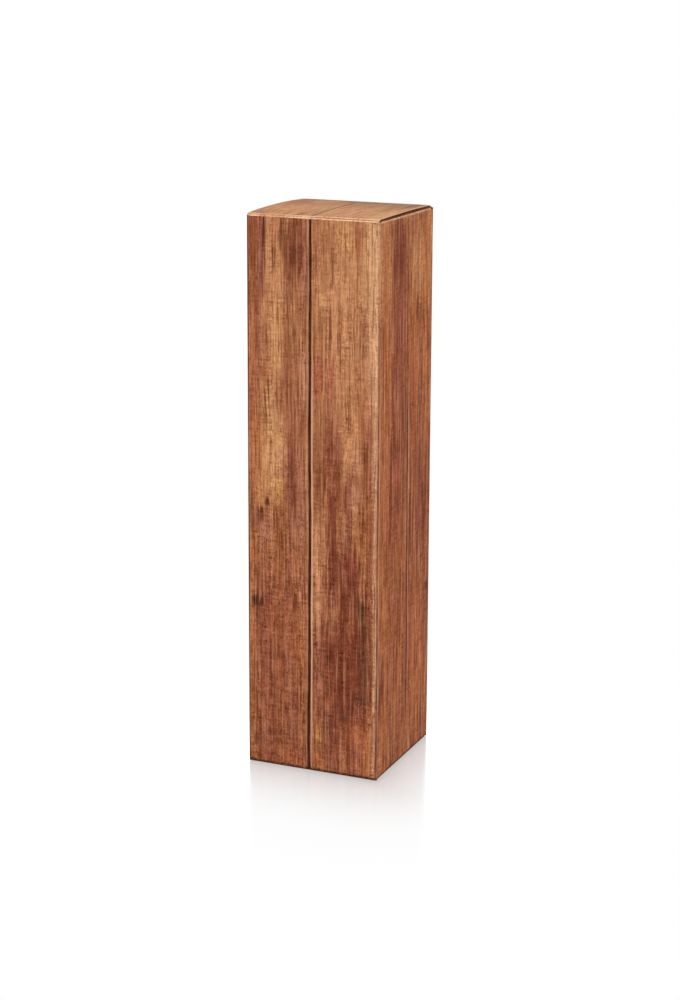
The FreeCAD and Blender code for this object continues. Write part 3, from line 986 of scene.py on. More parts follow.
class Draft:
    """Mesh being drawn, in millimetres, with one material each for its print, its cut edges and its back."""

    def __init__(self) -> None:
        """Start with nothing drawn."""
        self.points: List[Vector] = []
        self.blank: List[Pair] = []
        self.wear_and_light: List[float] = []
        self.faces: List[List[int]] = []
        self.slots: List[int] = []

    def point(self, at: Vector, blank: Pair, wear_and_light: float) -> int:
        """Add a point.

        Args:
            at: where it is.
            blank: its place on the blank.
            wear_and_light: its rubbing and painted light, from -1, painted shade, to 1, pale rubbing with
                painted highlight.

        Returns:
            Its number.
        """
        self.points.append(at)
        self.blank.append(blank)
        self.wear_and_light.append(wear_and_light)
        return len(self.points) - 1

    def face(self, corners: Sequence[int], slot: int, flip: bool) -> None:
        """Add a face, turned over if asked."""
        self.faces.append(list(reversed(corners)) if flip else list(corners))
        self.slots.append(slot)

    def board(self, rows: Sequence[Sequence[Station]]) -> "Draft":
        """Draw a piece of board from rows of stations.

        Args:
            rows: rows of equal length.

        Returns:
            This draft.
        """
        tops = [[self.point(s.outer, s.blank, s.wear_and_light) for s in row] for row in rows]
        backs = [[self.point(s.inner, s.blank, 0.0) for s in row] for row in rows]
        a, b, c = (self.points[i] for i in (tops[0][0], tops[0][1], tops[1][0]))
        flip = (b - a).cross(c - a).dot(rows[0][0].outer - rows[0][0].inner) < 0
        for i in range(len(rows) - 1):
            for j in range(len(rows[0]) - 1):
                self.face([tops[i][j], tops[i][j + 1], tops[i + 1][j + 1], tops[i + 1][j]], PRINT, flip)
                back = [backs[i][j], backs[i][j + 1], backs[i + 1][j + 1], backs[i + 1][j]]
                self.face(back, BACK, not flip)
        self.rim(self.around(tops), self.around(backs), flip)
        return self

    @staticmethod
    def around(grid: List[List[int]]) -> List[int]:
        """Go round a grid's outside once.

        Args:
            grid: rows of numbers.

        Returns:
            The numbers on its outside, in order.
        """
        far_side = [row[-1] for row in grid[1:-1]]
        near_side = [row[0] for row in grid[-2:0:-1]]
        return grid[0] + far_side + grid[-1][::-1] + near_side

    def rim(self, top: List[int], back: List[int], flip: bool) -> None:
        """Close a piece of board along its cut edges.

        Args:
            top, back: the numbers of the points round its two faces.
            flip: whether its faces were turned over.
        """
        for i, start in enumerate(top):
            k = (i + 1) % len(top)
            self.face([start, back[i], back[k], top[k]], CUT, flip)

    def sheet(
        self,
        outline: Sequence[Pair],
        origin: Vector,
        axes: Tuple[Vector, Vector, Vector],
        thickness: float,
        blank: Callable[[float, float], Pair],
    ) -> "Draft":
        """Draw a flat sheet inside an outline.

        Args:
            outline: its corners in order, as places along its fold and away from it.
            origin: point of the printed face where both are 0.
            axes: directions along the fold, away from it and out of the print.
            thickness: how thick the sheet is.
            blank: place on the blank for a place in the outline.

        Returns:
            This draft.
        """
        along, away, out = axes
        outer = [origin + along * place + away * reach for place, reach in outline]
        top = [self.point(at, blank(*place), 0.0) for at, place in zip(outer, outline)]
        back = [self.point(at - out * thickness, blank(*place), 0.0) for at, place in zip(outer, outline)]
        area = Vector()
        for i, at in enumerate(outer):
            area += at.cross(outer[(i + 1) % len(outer)])
        flip = area.dot(out) < 0
        self.face(top, PRINT, flip)
        self.face(back, BACK, not flip)
        self.rim(top, back, flip)
        return self

    def piece(
        self, name: str, finishes: Finishes, slot: str, paper: Optional[bpy.types.Material] = None
    ) -> bpy.types.Object:
        """Turn the draft into an object.

        Args:
            name: the piece's name.
            finishes: the carton's finishes.
            slot: the record's material slot; not used.
            paper: material of both faces, in place of the print and its back.

        Returns:
            The object, in metres.
        """
        mesh = bpy.data.meshes.new(name)
        mesh.from_pydata([p * MM for p in self.points], [], self.faces)
        for material in (paper or finishes.print, finishes.cut, paper or finishes.crease):
            mesh.materials.append(material)
        mesh.polygons.foreach_set("material_index", self.slots)
        mesh.polygons.foreach_set("use_smooth", [True] * len(self.faces))
        mesh.set_sharp_from_angle(angle=SHARP_ANGLE)
        places = mesh.attributes.new("blank", "FLOAT_VECTOR", "POINT")
        flat = [value for u, v in self.blank for value in (u * MM, v * MM, 0.0)]
        places.data.foreach_set("vector", flat)
        # Above 0: pale rubbing with painted highlight; below 0: painted shade.
        worn = mesh.attributes.new("wear_and_light", "FLOAT", "POINT")
        worn.data.foreach_set("value", self.wear_and_light)
        mesh.validate()
        made = bpy.data.objects.new(name, mesh)
        bpy.context.scene.collection.objects.link(made)
        LOG.info("%s: %d faces", name, len(self.faces))
        return made


def stand_in(made: bpy.types.Object, body: str, packed: str) -> None:
    """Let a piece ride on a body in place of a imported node."""
    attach(made, body)
    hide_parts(packed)


def stretch(
    made: bpy.types.Object, middle: Vector, reach: Vector, packed: str
) -> None:
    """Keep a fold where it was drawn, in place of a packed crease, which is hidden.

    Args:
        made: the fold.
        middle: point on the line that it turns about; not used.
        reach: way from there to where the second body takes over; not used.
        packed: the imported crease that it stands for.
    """
    (middle - reach) * MM
    (middle + reach) * MM
    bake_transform(made)
    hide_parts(packed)


def level_along(outward: Vector) -> Vector:
    """Level direction along the wall that faces outward."""
    return X if outward.y else Y


@dataclass(frozen=True)
class Carton:
    """Sizes that the sub-assemblies share, in millimetres."""

    half: float = 45.0
    height: float = 359.0
    liner: float = 0.16
    board: float = 1.10
    fold_radius: float = 1.8
    crease_reach: float = 0.75
    lid_bow: float = 1.0
    lid_side_gap: float = 0.7
    tuck_wall_gap: float = 0.5
    lid_rest_gap: float = 0.15
    foot: float = 0.5
    head_gap: float = 0.4
    glue: float = 0.1

    @property
    def flat(self) -> float:
        """Half of a wall's flat part."""
        return self.half - self.fold_radius

    @property
    def lid_axis(self) -> Vector:
        """Point on the line that the lid turns about."""
        return Vector((0, -self.half + self.board / 2, self.height - self.board / 2))

    @property
    def tuck_axis(self) -> Vector:
        """Point on the line that the tuck flap turns about."""
        back = self.half - self.board * 1.5 - self.tuck_wall_gap
        return Vector((0, back, self.height - self.board / 2))

    @property
    def dust_axis(self) -> Pair:
        """Distance from the middle and height of the lines that the dust flaps turn about."""
        return self.half - self.board / 2, self.height - self.board * 1.5 - self.lid_rest_gap

    @property
    def side_top(self) -> float:
        """Height where a side wall turns into its dust flap."""
        return self.dust_axis[1] + self.board / 2 - self.fold_radius

    @property
    def front_top(self) -> float:
        """Height where the front wall turns into the lid."""
        return self.height - self.fold_radius

    @property
    def seam_y(self) -> float:
        """Where the left wall turns into the glue flap."""
        return self.half - self.board - self.glue - self.fold_radius

    def blank_u(self, outward: Vector, place: float) -> float:
        """Place on the blank for a place along a wall.

        Args:
            outward: direction that the wall faces.
            place: its x for the front and back, its y for the sides.

        Returns:
            The place across the blank.
        """
        if outward.y < 0:
            return place
        if outward.x > 0:
            return 2 * self.half + place
        return 4 * self.half - place if outward.y > 0 else -2 * self.half - place

    def turn_v(self, share: float) -> float:
        """Place on the blank across a fold, from its middle line."""
        return (share * 2 - 1) * self.fold_radius


@dataclass(frozen=True)
class Fold:
    """A fold in the board, from the panel before it to the panel after it.

    The spans are the ends of the two panels along the fold, and turnover is the share of the turn at which
    the first gives way to the second. Two pressed ridges run along the fold at inset from its edges, with a
    groove between them. Pale over the turn is partly print cracked through and partly painted highlight,
    crest is a painted highlight along its middle, and a negative pale paints shade over the turn. Line is the
    darkness of the groove, painted shade, which starts at line_start and is full past line_from. The waves
    are the lengths over which ridges, pale and crest, and groove come and go, and the swings and the wander
    are by how much.
    """

    name: str
    axis: Vector
    along: Vector
    before: Vector
    after: Vector
    span_before: Pair
    span_after: Pair
    blank: Callable[[float, float], Pair]
    ridge: float = 0.08
    groove: float = 0.22
    pale: float = 0.3
    crest: float = 0.0
    line: float = 0.3
    line_from: float = -1000.0
    line_start: float = 0.0
    line_rise: float = 12.0
    line_width: float = 0.07
    inset: float = 0.14
    ridge_width: float = 0.09
    pale_ridge_inset: float = 0.16
    pale_ridge_width: float = 0.11
    crest_at: float = 0.48
    crest_width: float = 0.16
    ridge_wave: float = 11.0
    wear_and_light_wave: float = 9.0
    line_wave: float = 23.0
    line_wander: float = 0.05
    ridge_swing: float = 0.5
    wear_and_light_level: float = 0.75
    wear_and_light_swing: float = 0.5
    band_share: float = 0.6
    ridge_share: float = 0.5
    seed: float = 1.0
    turnover: float = 0.2
    steps: int = 20
    stride: float = 3.0

    def centre(self, sizes: Carton) -> Vector:
        """Centre of the turn."""
        lean = 1 + self.before.dot(self.after)
        return self.axis + (self.before + self.after) * ((sizes.board / 2 - sizes.fold_radius) / lean)

    def rows(self, sizes: Carton) -> List[List[Station]]:
        """Stations across and along the fold.

        Args:
            sizes: the carton's sizes.

        Returns:
            One row for each step across the fold.
        """
        centre = self.centre(sizes)
        turn = self.before.angle(self.after)
        count = math.ceil((self.span_before[1] - self.span_before[0]) / self.stride)
        made = []
        for i in range(self.steps + 1):
            share = i / self.steps
            spin = Matrix.Rotation(turn * share, 3, self.before.cross(self.after))
            normal = spin @ self.before
            span = self.span_before if share < self.turnover else self.span_after
            inner = centre + normal * (sizes.fold_radius - sizes.board)
            row = []
            for k in range(count + 1):
                place = blend(span[0], span[1], k / count)
                shift = self.along * place
                outer = centre + normal * (sizes.fold_radius + self.relief(share, place))
                wear_and_light = self.wear_and_light(share, place)
                row.append(Station(outer + shift, inner + shift, self.blank(share, place), wear_and_light))
            made.append(row)
        return made

    def pressed(self, share: float, place: float) -> float:
        """Line that the crease rule pressed along the middle of the fold.

        Args:
            share: place across the fold, from 0 to 1.
            place: millimetres along it.

        Returns:
            From 0 to 1.
        """
        risen = (place - self.line_from) / self.line_rise + 0.5
        shown = blend(self.line_start, 1.0, min(1.0, max(0.0, risen)))
        middle = 0.5 + self.line_wander * drift(place, self.seed + 5, self.line_wave)
        return shown * bump(share, middle, self.line_width)

    @staticmethod
    def twin(share: float, inset: float, width: float) -> float:
        """Two bell curves, as far from either edge of the fold."""
        return bump(share, inset, width) + bump(share, 1 - inset, width)

    def relief(self, share: float, place: float) -> float:
        """Height of the pressed ridges and the groove between them.

        Args:
            share: place across the fold, from 0 to 1.
            place: millimetres along it.

        Returns:
            Millimetres above the plain turn.
        """
        lift = 1 + self.ridge_swing * drift(place, self.seed, self.ridge_wave)
        ridges = self.twin(share, self.inset, self.ridge_width)
        return self.ridge * lift * ridges - self.groove * self.pressed(share, place)

    def wear_and_light(self, share: float, place: float) -> float:
        """Rubbing and painted light on the print: pale over the turn, partly rubbed and partly painted
        highlight, and painted shade in the groove.

        Args:
            share: place across the fold, from 0 to 1.
            place: millimetres along it.

        Returns:
            From -1, painted shade, to 1, pale.
        """
        lift = self.wear_and_light_level + self.wear_and_light_swing * drift(place, self.seed + 9, self.wear_and_light_wave)
        band = 1 - abs(2 * share - 1) ** 3
        ridges = self.twin(share, self.pale_ridge_inset, self.pale_ridge_width)
        # Pale band and ridges: cracked print and painted highlight; crest: painted highlight; line: painted
        # shade.
        worn = self.pale * (self.band_share * band + self.ridge_share * ridges)
        worn += self.crest * bump(share, self.crest_at, self.crest_width)
        return worn * lift - self.line * self.pressed(share, place)

    def piece(self, sizes: Carton, finishes: Finishes) -> bpy.types.Object:
        """Make the fold's object."""
        return Draft().board(self.rows(sizes)).piece(self.name, finishes, "printed_fold")


@dataclass
class Walls:
    """Four printed walls and the folds between them.

    The walls swell by up to the unevenness, in waves across and up, and are flat near their edges.
    """

    sizes: Carton
    finishes: Finishes
    unevenness: float = 0.14
    wave_across: float = 30.0
    wave_up: float = 55.0
    swell_level: float = 0.6
    edge_fade: float = 15.0
    column: float = 4.0
    row: float = 6.0
    seam_inset: float = 0.3
    back_drop: float = 0.8

    def build(self) -> None:
        """Make the walls and their corner folds."""
        s = self.sizes
        flat = (-s.flat, s.flat)
        self.wall("front_wall", -Y, flat, s.front_top, 1.0)
        self.wall("right_wall", X, flat, s.side_top, 2.0)
        self.wall("back_wall", Y, (-s.half + self.seam_inset, s.flat), s.height - self.back_drop, 3.0)
        self.wall("left_wall", -X, (-s.flat, s.seam_y), s.side_top, 4.0)
        # The front left and back right folds carry painted shade along their pressed line, the front right
        # one a faint painted highlight.
        self.corner("front_left_corner_fold", -X, -Y, -s.half, 11.0)
        self.corner("front_right_corner_fold", -Y, X, s.half, 12.0, pale=0.12, line=0.0)
        self.corner("back_right_corner_fold", X, Y, 3 * s.half, 13.0)

    def wall(self, name: str, outward: Vector, span: Pair, top: float, seed: float) -> None:
        """Make one printed wall.

        Args:
            name: the panel's name.
            outward: direction that its print faces.
            span: its two ends along the level direction.
            top: height of its upper end.
            seed: number that sets its unevenness apart.
        """
        s = self.sizes
        low = s.fold_radius
        across = level_along(outward)
        rows = []
        for z in spread(low, top, self.row):
            row = []
            for place in spread(span[0], span[1], self.column):
                base = outward * s.half + across * place + Z * z
                edge = min(place - span[0], span[1] - place, z - low, top - z)
                wave = Vector((place / self.wave_across, z / self.wave_up, seed))
                swell = max(0.0, noise.noise(wave) + self.swell_level)
                lift = self.unevenness * swell * min(1.0, edge / self.edge_fade)
                blank = (s.blank_u(outward, place), z)
                row.append(Station(base + outward * lift, base - outward * s.liner, blank))
            rows.append(row)
        made = Draft().board(rows).piece(f"{name}_print", self.finishes, "printed_liner")
        stand_in(made, "carton", f"{name}_printed_liner")

    def corner(
        self,
        name: str,
        before: Vector,
        after: Vector,
        corner_u: float,
        seed: float,
        pale: float = 0.0,
        line: float = 0.35,
    ) -> None:
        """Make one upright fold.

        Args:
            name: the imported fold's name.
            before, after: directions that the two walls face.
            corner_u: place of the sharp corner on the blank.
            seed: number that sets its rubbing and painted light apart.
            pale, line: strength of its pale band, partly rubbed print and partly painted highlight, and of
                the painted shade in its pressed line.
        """
        s = self.sizes
        span = (s.foot, s.height - s.board - s.head_gap)
        fold = Fold(
            name=f"{name}_print",
            axis=(before + after) * (s.half - s.board / 2),
            along=Z,
            before=before,
            after=after,
            span_before=span,
            span_after=span,
            blank=lambda share, z: (corner_u + s.turn_v(share), z),
            pale=pale,
            line=line,
            seed=seed,
        )
        stand_in(fold.piece(s, self.finishes), "carton", name)


@dataclass
class SideSeam:
    """Glue flap on the left wall, behind the back wall's cut edge."""

    sizes: Carton
    finishes: Finishes
    width: float = 18.0
    taper: float = 8.0
    foot: float = 9.8
    head: float = 335.844

    def build(self) -> None:
        """Make the flap's printed sheet and its fold."""
        s = self.sizes
        face_y = s.seam_y + s.fold_radius
        corner_u = s.blank_u(-X, face_y)
        fold = Fold(
            name="glue_flap_fold_print",
            axis=Vector((-s.half + s.board / 2, face_y - s.board / 2, 0)),
            along=Z,
            before=Y,
            after=-X,
            span_before=(self.foot, self.head),
            span_after=(self.foot, self.head),
            blank=lambda share, z: (corner_u + s.turn_v(share), z),
            seed=14.0,
        )
        stand_in(fold.piece(s, self.finishes), "carton", "glue_flap_fold")
        root = -s.flat
        tip = root + self.width
        places = [
            (root, self.foot),
            (root, self.head),
            (tip, self.head - self.taper),
            (tip, self.foot + self.taper),
        ]
        flap = Draft().sheet(places, Y * face_y, (X, Z, Y), s.liner, lambda x, z: (corner_u - s.half - x, z))
        made = flap.piece("glue_flap_print", self.finishes, "printed_liner")
        stand_in(made, "carton", "glue_flap_printed_liner")


@dataclass(frozen=True)
class Corner:
    """Corner of a flap's outline: places along and away from its fold, and its rounding."""

    along: float
    away: float
    radius: float = 0.0


def rounded(corners: Sequence[Corner], steps: int = 10) -> List[Pair]:
    """Outline with its corners rounded.

    Args:
        corners: the sharp corners in order.
        steps: number of pieces in each rounding.

    Returns:
        Points along the outline.
    """
    places = [Vector((c.along, c.away, 0)) for c in corners]
    made: List[Pair] = []
    for i, corner in enumerate(corners):
        here = places[i]
        if corner.radius == 0:
            made.append((here.x, here.y))
            continue
        to_last = (places[i - 1] - here).normalized()
        to_next = (places[(i + 1) % len(places)] - here).normalized()
        half = to_last.angle(to_next) / 2
        middle = here + (to_last + to_next).normalized() * (corner.radius / math.sin(half))
        start = here + to_last * (corner.radius / math.tan(half)) - middle
        end = here + to_next * (corner.radius / math.tan(half)) - middle
        sweep = start.angle(end)
        for k in range(steps + 1):
            turned = sweep * k / steps
            at = middle + (start * math.sin(sweep - turned) + end * math.sin(turned)) / math.sin(sweep)
            made.append((at.x, at.y))
    return made


@dataclass
class Lid:
    """Bowed lid, the fold that it turns on, and its tuck flap.

    The steps are the spacings of points across its liners and its fluting and along all three, and
    half_columns is the number of columns in half of a fold.
    """

    sizes: Carton
    finishes: Finishes
    left_bow: float = 1.35
    right_bow: float = 0.55
    far_corner: float = 1.9
    flute_pitch: float = 2.4
    flute_rise: float = 0.305
    flute_sheet: float = 0.13
    tuck_length: float = 18.0
    tuck_lean: float = 12.0
    tuck_half_width: float = 42.4
    tuck_corner: float = 9.0
    liner_step: float = 3.0
    flute_step: float = 0.3
    long_step: float = 4.0
    corner_steps: int = 6
    half_columns: int = 30
    crease_blend: float = 0.35
    tuck_blend: float = 0.5

    def __post_init__(self) -> None:
        """Work out the lid's reach and the slope at its ends."""
        s = self.sizes
        self.half_width = s.half - s.lid_side_gap
        self.half_span = (s.tuck_axis.y - s.lid_axis.y) / 2
        self.end_angle = 2 * math.atan(s.lid_bow / self.half_span)
        setback = s.fold_radius - s.board / 2
        self.near_y = s.lid_axis.y + setback
        self.far_y = s.tuck_axis.y - setback

    def normal(self, angle: float) -> Vector:
        """Direction out of the lid at an angle from its middle."""
        return Vector((0, math.sin(angle), math.cos(angle)))

    def blank_v(self, y: float) -> float:
        """Place on the blank for a place along the lid."""
        return self.sizes.height + self.sizes.half + y

    def build(self) -> None:
        """Make the fold, the lid's sheet, the far fold and the tuck flap."""
        self.front_fold()
        self.panel()
        self.far_fold()
        self.tuck_flap()

    def front_fold(self) -> None:
        """Fold between the front wall and the lid."""
        s = self.sizes
        fold = Fold(
            name="lid_fold_print",
            axis=s.lid_axis,
            along=X,
            before=-Y,
            after=self.normal(-self.end_angle),
            span_before=(-s.flat, s.flat),
            span_after=(-self.half_width, self.half_width),
            blank=lambda share, x: (x, s.height + s.turn_v(share)),
            ridge=0.14,
            groove=0.34,
            # A broad pale band over the turn, partly cracked print and partly painted highlight, and painted
            # shade in the groove.
            pale=1.5,
            line=2.0,
            line_from=2.0,
            line_start=0.15,
            seed=21.0,
            stride=self.half_width / self.half_columns,
        )
        made = fold.piece(s, self.finishes)
        stretch(made, s.lid_axis, (Y + Z) * self.crease_blend, "lid_crease")

    def middle(self, x: float, y: float) -> Vector:
        """Point on the middle of the lid's board, which bows up more on its left.

        Args:
            x, y: place on the lid.

        Returns:
            The point.
        """
        s = self.sizes
        along = (y - s.lid_axis.y) / self.half_span - 1
        bow = blend(self.left_bow, self.right_bow, (x / self.half_width + 1) / 2)
        return Vector((x, y, s.lid_axis.z + bow * (1 - along**2)))

    def lifted(self, x: float, y: float, lift: float) -> Vector:
        """Point above or below the middle of the lid's board.

        Args:
            x, y: place on the lid.
            lift: height over the middle, square to the bowed board.

        Returns:
            The point.
        """
        across = self.middle(x + 0.5, y) - self.middle(x - 0.5, y)
        along = self.middle(x, y + 0.5) - self.middle(x, y - 0.5)
        return self.middle(x, y) + across.cross(along).normalized() * lift

    def half_width_at(self, y: float) -> float:
        """Half width of the lid, less at its rounded far corners."""
        past = max(0.0, y - self.far_y + self.far_corner)
        return self.half_width - self.far_corner + math.sqrt(max(0.0, self.far_corner**2 - past**2))

    def panel(self) -> None:
        """Three sheets of the lid's board."""
        s, f = self.sizes, self.finishes
        skin = s.board / 2
        top = self.ply(self.liner_step, skin, s.liner)
        stand_in(top.piece("lid_print", f, "printed_liner"), "lid", "lid_printed_liner")
        flutes = self.ply(self.flute_step, self.flute_sheet / 2, self.flute_sheet, self.flute_rise)
        stand_in(flutes.piece("lid_flutes", f, "fluting", f.fluting), "lid", "lid_fluting")
        inside = self.ply(self.liner_step, s.liner - skin, s.liner)
        stand_in(inside.piece("lid_inside", f, "inner_liner", f.liner[RibAxis.X]), "lid", "lid_inner_liner")

    def ply(self, step: float, lift: float, thickness: float, wave: float = 0.0) -> Draft:
        """Draw one sheet of the lid's board.

        Args:
            step: widest spacing of its points across the lid.
            lift: height of its upper face over the middle of the board.
            thickness: how thick it is.
            wave: height of its flutes over its middle.

        Returns:
            The drawn sheet.
        """
        places = spread(self.near_y, self.far_y - self.far_corner, self.long_step)
        for i in range(1, self.corner_steps + 1):
            turn = math.pi / 2 * i / self.corner_steps
            places.append(self.far_y - self.far_corner * (1 - math.sin(turn)))
        rows = []
        for y in places:
            wide = self.half_width_at(y)
            row = []
            for share in spread(-1.0, 1.0, step / self.half_width):
                top = lift + wave * math.cos(2 * math.pi * share * self.half_width / self.flute_pitch)
                x = share * wide
                outer = self.lifted(x, y, top)
                row.append(Station(outer, self.lifted(x, y, top - thickness), (x, self.blank_v(y))))
            rows.append(row)
        return Draft().board(rows)

    def tuck_out(self) -> Vector:
        """Direction that the tuck flap's print faces."""
        lean = math.radians(self.tuck_lean)
        return Vector((0, math.cos(lean), -math.sin(lean)))

    def far_fold(self) -> None:
        """Fold between the lid and the tuck flap."""
        s = self.sizes
        corner_v = self.blank_v(s.tuck_axis.y + s.board / 2)
        fold = Fold(
            name="tuck_fold_print",
            axis=s.tuck_axis,
            along=X,
            before=self.normal(self.end_angle),
            after=self.tuck_out(),
            span_before=(-self.tuck_half_width, self.tuck_half_width),
            span_after=(-self.tuck_half_width, self.tuck_half_width),
            blank=lambda share, x: (x, corner_v + s.turn_v(share)),
            # A negative pale: painted shade over the far fold.
            pale=-0.6,
            seed=22.0,
            turnover=0.25,
            stride=self.half_width / self.half_columns,
        )
        made = fold.piece(s, self.finishes)
        reach = (self.tuck_out() - self.normal(self.end_angle)).normalized() * self.tuck_blend
        stretch(made, s.tuck_axis, reach, "tuck_flap_crease")

    def tuck_flap(self) -> None:
        """Printed sheet of the tuck flap."""
        s = self.sizes
        out = self.tuck_out()
        down = Vector((0, out.z, -out.y))
        lean = 1 + self.normal(self.end_angle).dot(out)
        start = (s.fold_radius - s.board / 2) * self.normal(self.end_angle).cross(out).length / lean
        wide = self.tuck_half_width
        corners = [
            Corner(-wide, start),
            Corner(wide, start),
            Corner(wide, self.tuck_length, self.tuck_corner),
            Corner(-wide, self.tuck_length, self.tuck_corner),
        ]
        root_v = self.blank_v(s.tuck_axis.y + s.board)
        origin = s.tuck_axis + out * (s.board / 2)
        outline = rounded(corners)
        flap = Draft().sheet(outline, origin, (X, down, out), s.liner, lambda x, away: (x, root_v + away))
        made = flap.piece("tuck_flap_print", self.finishes, "printed_liner")
        stand_in(made, "tuck_flap", "tuck_flap_printed_liner")


@dataclass
class DustFlaps:
    """Two flaps on the side walls, folded in under the lid."""

    sizes: Carton
    finishes: Finishes
    front_y: float = -42.5
    back_y: float = 40.597
    length: float = 38.25
    taper: float = 0.62
    corner: float = 7.0
    blend_reach: float = 0.5

    def build(self) -> None:
        """Make the folds and the flaps."""
        self.flap("left", -X, self.sizes.seam_y, 31.0)
        self.flap("right", X, self.sizes.flat, 32.0)

    def flap(self, side: str, outward: Vector, wall_back: float, seed: float) -> None:
        """Make one flap with its fold.

        Args:
            side: left or right.
            outward: direction that its wall faces.
            wall_back: where the flat part of its wall ends at the back.
            seed: number that sets its rubbing and painted light apart.
        """
        s = self.sizes
        reach, height = s.dust_axis
        axis = outward * reach + Z * height
        crown = height + s.board / 2
        fold = Fold(
            name=f"{side}_dust_fold_print",
            axis=axis,
            along=Y,
            before=outward,
            after=Z,
            span_before=(-s.flat, wall_back),
            span_after=(self.front_y, self.back_y),
            blank=lambda share, y: (s.blank_u(outward, y), crown + s.turn_v(share)),
            groove=0.0,
            # The crest is a painted highlight along the top of the fold, next to the lid's slot.
            pale=0.12,
            crest=1.1,
            line=0.0,
            seed=seed,
        )
        made = fold.piece(s, self.finishes)
        bend = (Z - outward).normalized() * self.blend_reach
        stretch(made, axis, bend, f"{side}_dust_flap_crease")
        start = s.fold_radius - s.board / 2
        lead = self.taper * (start - s.crease_reach)
        run = self.taper * (self.length - s.crease_reach)
        corners = [
            Corner(self.front_y + lead, start),
            Corner(self.back_y, start),
            Corner(self.back_y, self.length, self.corner),
            Corner(self.front_y + run, self.length, self.corner),
        ]
        flap = Draft().sheet(
            rounded(corners),
            axis + Z * (s.board / 2),
            (Y, -outward, Z),
            s.liner,
            lambda y, away: (s.blank_u(outward, y), crown + s.board / 2 + away),
        )
        made = flap.piece(f"{side}_dust_flap_print", self.finishes, "printed_liner")
        stand_in(made, f"{side}_dust_flap", f"{side}_dust_flap_printed_liner")


@dataclass
class Base:
    """Self-locking base: two hooked flaps below and two side flaps above them.

    Its folds are drawn in steps round the turn and in columns along it, with a pressed ridge and a groove.
    These and the strip of painted contact shadow each have a middle and a width, as shares of the turn.
    """

    sizes: Carton
    finishes: Finishes
    rise_run: float = 6.0
    flap_gap: float = 0.3
    lock_step: float = 8.0
    lock_slant: float = 5.0
    tip_gap: float = 14.0
    end_gap: float = 1.0
    side_taper: float = 4.0
    steps: int = 14
    column: float = 3.0
    ridge: float = 0.10
    groove: float = 0.15
    ridge_at: Pair = (0.2, 0.1)
    groove_at: Pair = (0.5, 0.1)
    shadow_at: Pair = (0.36, 0.20)
    wear_and_light_level: float = 0.7
    wear_and_light_swing: float = 0.6
    wear_and_light_wave: float = 9.0

    def build(self) -> None:
        """Make the four flaps and their folds."""
        self.main_flap("front", -Y)
        self.main_flap("back", Y)
        self.side_flap("left", -X, self.sizes.seam_y)
        self.side_flap("right", X, self.sizes.flat - self.end_gap)

    def sheet(self, side: str, outward: Vector, root: float, level: float, outline: Sequence[Pair]) -> None:
        """Make the printed sheet of one flap, face down.

        Args:
            side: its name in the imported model.
            outward: direction from the middle to its wall.
            root: distance from the middle to its root.
            level: height of its printed face.
            outline: places along the wall and away from the root.
        """
        s = self.sizes
        flap = Draft().sheet(
            outline,
            outward * root + Z * level,
            (level_along(outward), -outward, -Z),
            s.liner,
            lambda place, away: (s.blank_u(outward, place), root - away - s.half),
        )
        made = flap.piece(f"base_{side}_flap_print", self.finishes, "printed_liner")
        stand_in(made, "carton", f"base_{side}_flap_printed_liner")

    def fold(self, side: str, outward: Vector, span: Pair, run: float = 0.0, rise: float = 0.0) -> None:
        """Make the fold at the foot of one wall.

        Args:
            side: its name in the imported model.
            outward: direction that the wall faces.
            span: its two ends along the wall.
            run, rise: how it climbs to its flap.
        """
        s = self.sizes
        centre = outward * s.flat + Z * s.fold_radius
        profile = []
        for i in range(self.steps + 1):
            share = i / self.steps
            turn = math.pi / 2 * share
            normal = outward * math.cos(turn) - Z * math.sin(turn)
            press = self.ridge * bump(share, *self.ridge_at) - self.groove * bump(share, *self.groove_at)
            outer = centre + normal * (s.fold_radius + press)
            inner = centre + normal * (s.fold_radius - s.board)
            # The negative bump is a painted contact shadow along the foot of the wall.
            profile.append((outer, inner, -s.turn_v(share), -bump(share, *self.shadow_at)))
        if run > 0:
            climb = Z * rise - outward * run
            outer, inner, v, _ = profile[-1]
            profile.append((outer + climb, inner + climb, v - run, 0.0))
        seed = outward.x * 3 + outward.y * 7
        rows = []
        for outer, inner, v, worn in profile:
            row = []
            for place in spread(span[0], span[1], self.column):
                shift = level_along(outward) * place
                wear_and_light = worn * (self.wear_and_light_level + self.wear_and_light_swing * drift(place, seed, self.wear_and_light_wave))
                row.append(Station(outer + shift, inner + shift, (s.blank_u(outward, place), v), wear_and_light))
            rows.append(row)
        made = Draft().board(rows).piece(f"base_{side}_fold_print", self.finishes, "printed_fold")
        stand_in(made, "carton", f"base_{side}_fold")

    def main_flap(self, side: str, outward: Vector) -> None:
        """Make a hooked flap with its fold.

        Args:
            side: front or back.
            outward: direction that its wall faces.
        """
        s = self.sizes
        self.fold(side, outward, (-s.flat, s.flat))
        half = s.flat - self.rise_run - self.flap_gap
        middle = s.flat - self.flap_gap / 2
        hook = [
            (-half, 0.0),
            (half, 0.0),
            (half, middle + self.lock_step),
            (self.lock_slant, middle + self.lock_step),
            (-self.lock_slant, middle - self.lock_step),
            (-half, middle - self.lock_step),
        ]
        outline = [(-place * outward.y, away) for place, away in hook]
        self.sheet(side, outward, s.flat, 0.0, outline)

    def side_flap(self, side: str, outward: Vector, fold_back: float) -> None:
        """Make a side flap with its climbing fold.

        Args:
            side: left or right.
            outward: direction that its wall faces.
            fold_back: where its fold ends at the back.
        """
        s = self.sizes
        level = s.board + s.glue
        root = s.flat - self.end_gap
        tip = root - self.side_taper
        self.fold(side, outward, (-root, fold_back), self.rise_run, level)
        start = s.flat - self.rise_run
        length = start - self.tip_gap / 2
        outline = [(-root, 0.0), (root, 0.0), (tip, length), (-tip, length)]
        self.sheet(side, outward, start, level, outline)


@dataclass(frozen=True)
class Lamp:
    """A soft square light: its place and its width in metres, and its power in watts."""

    name: str
    place: Tuple[float, float, float]
    width: float
    power: float


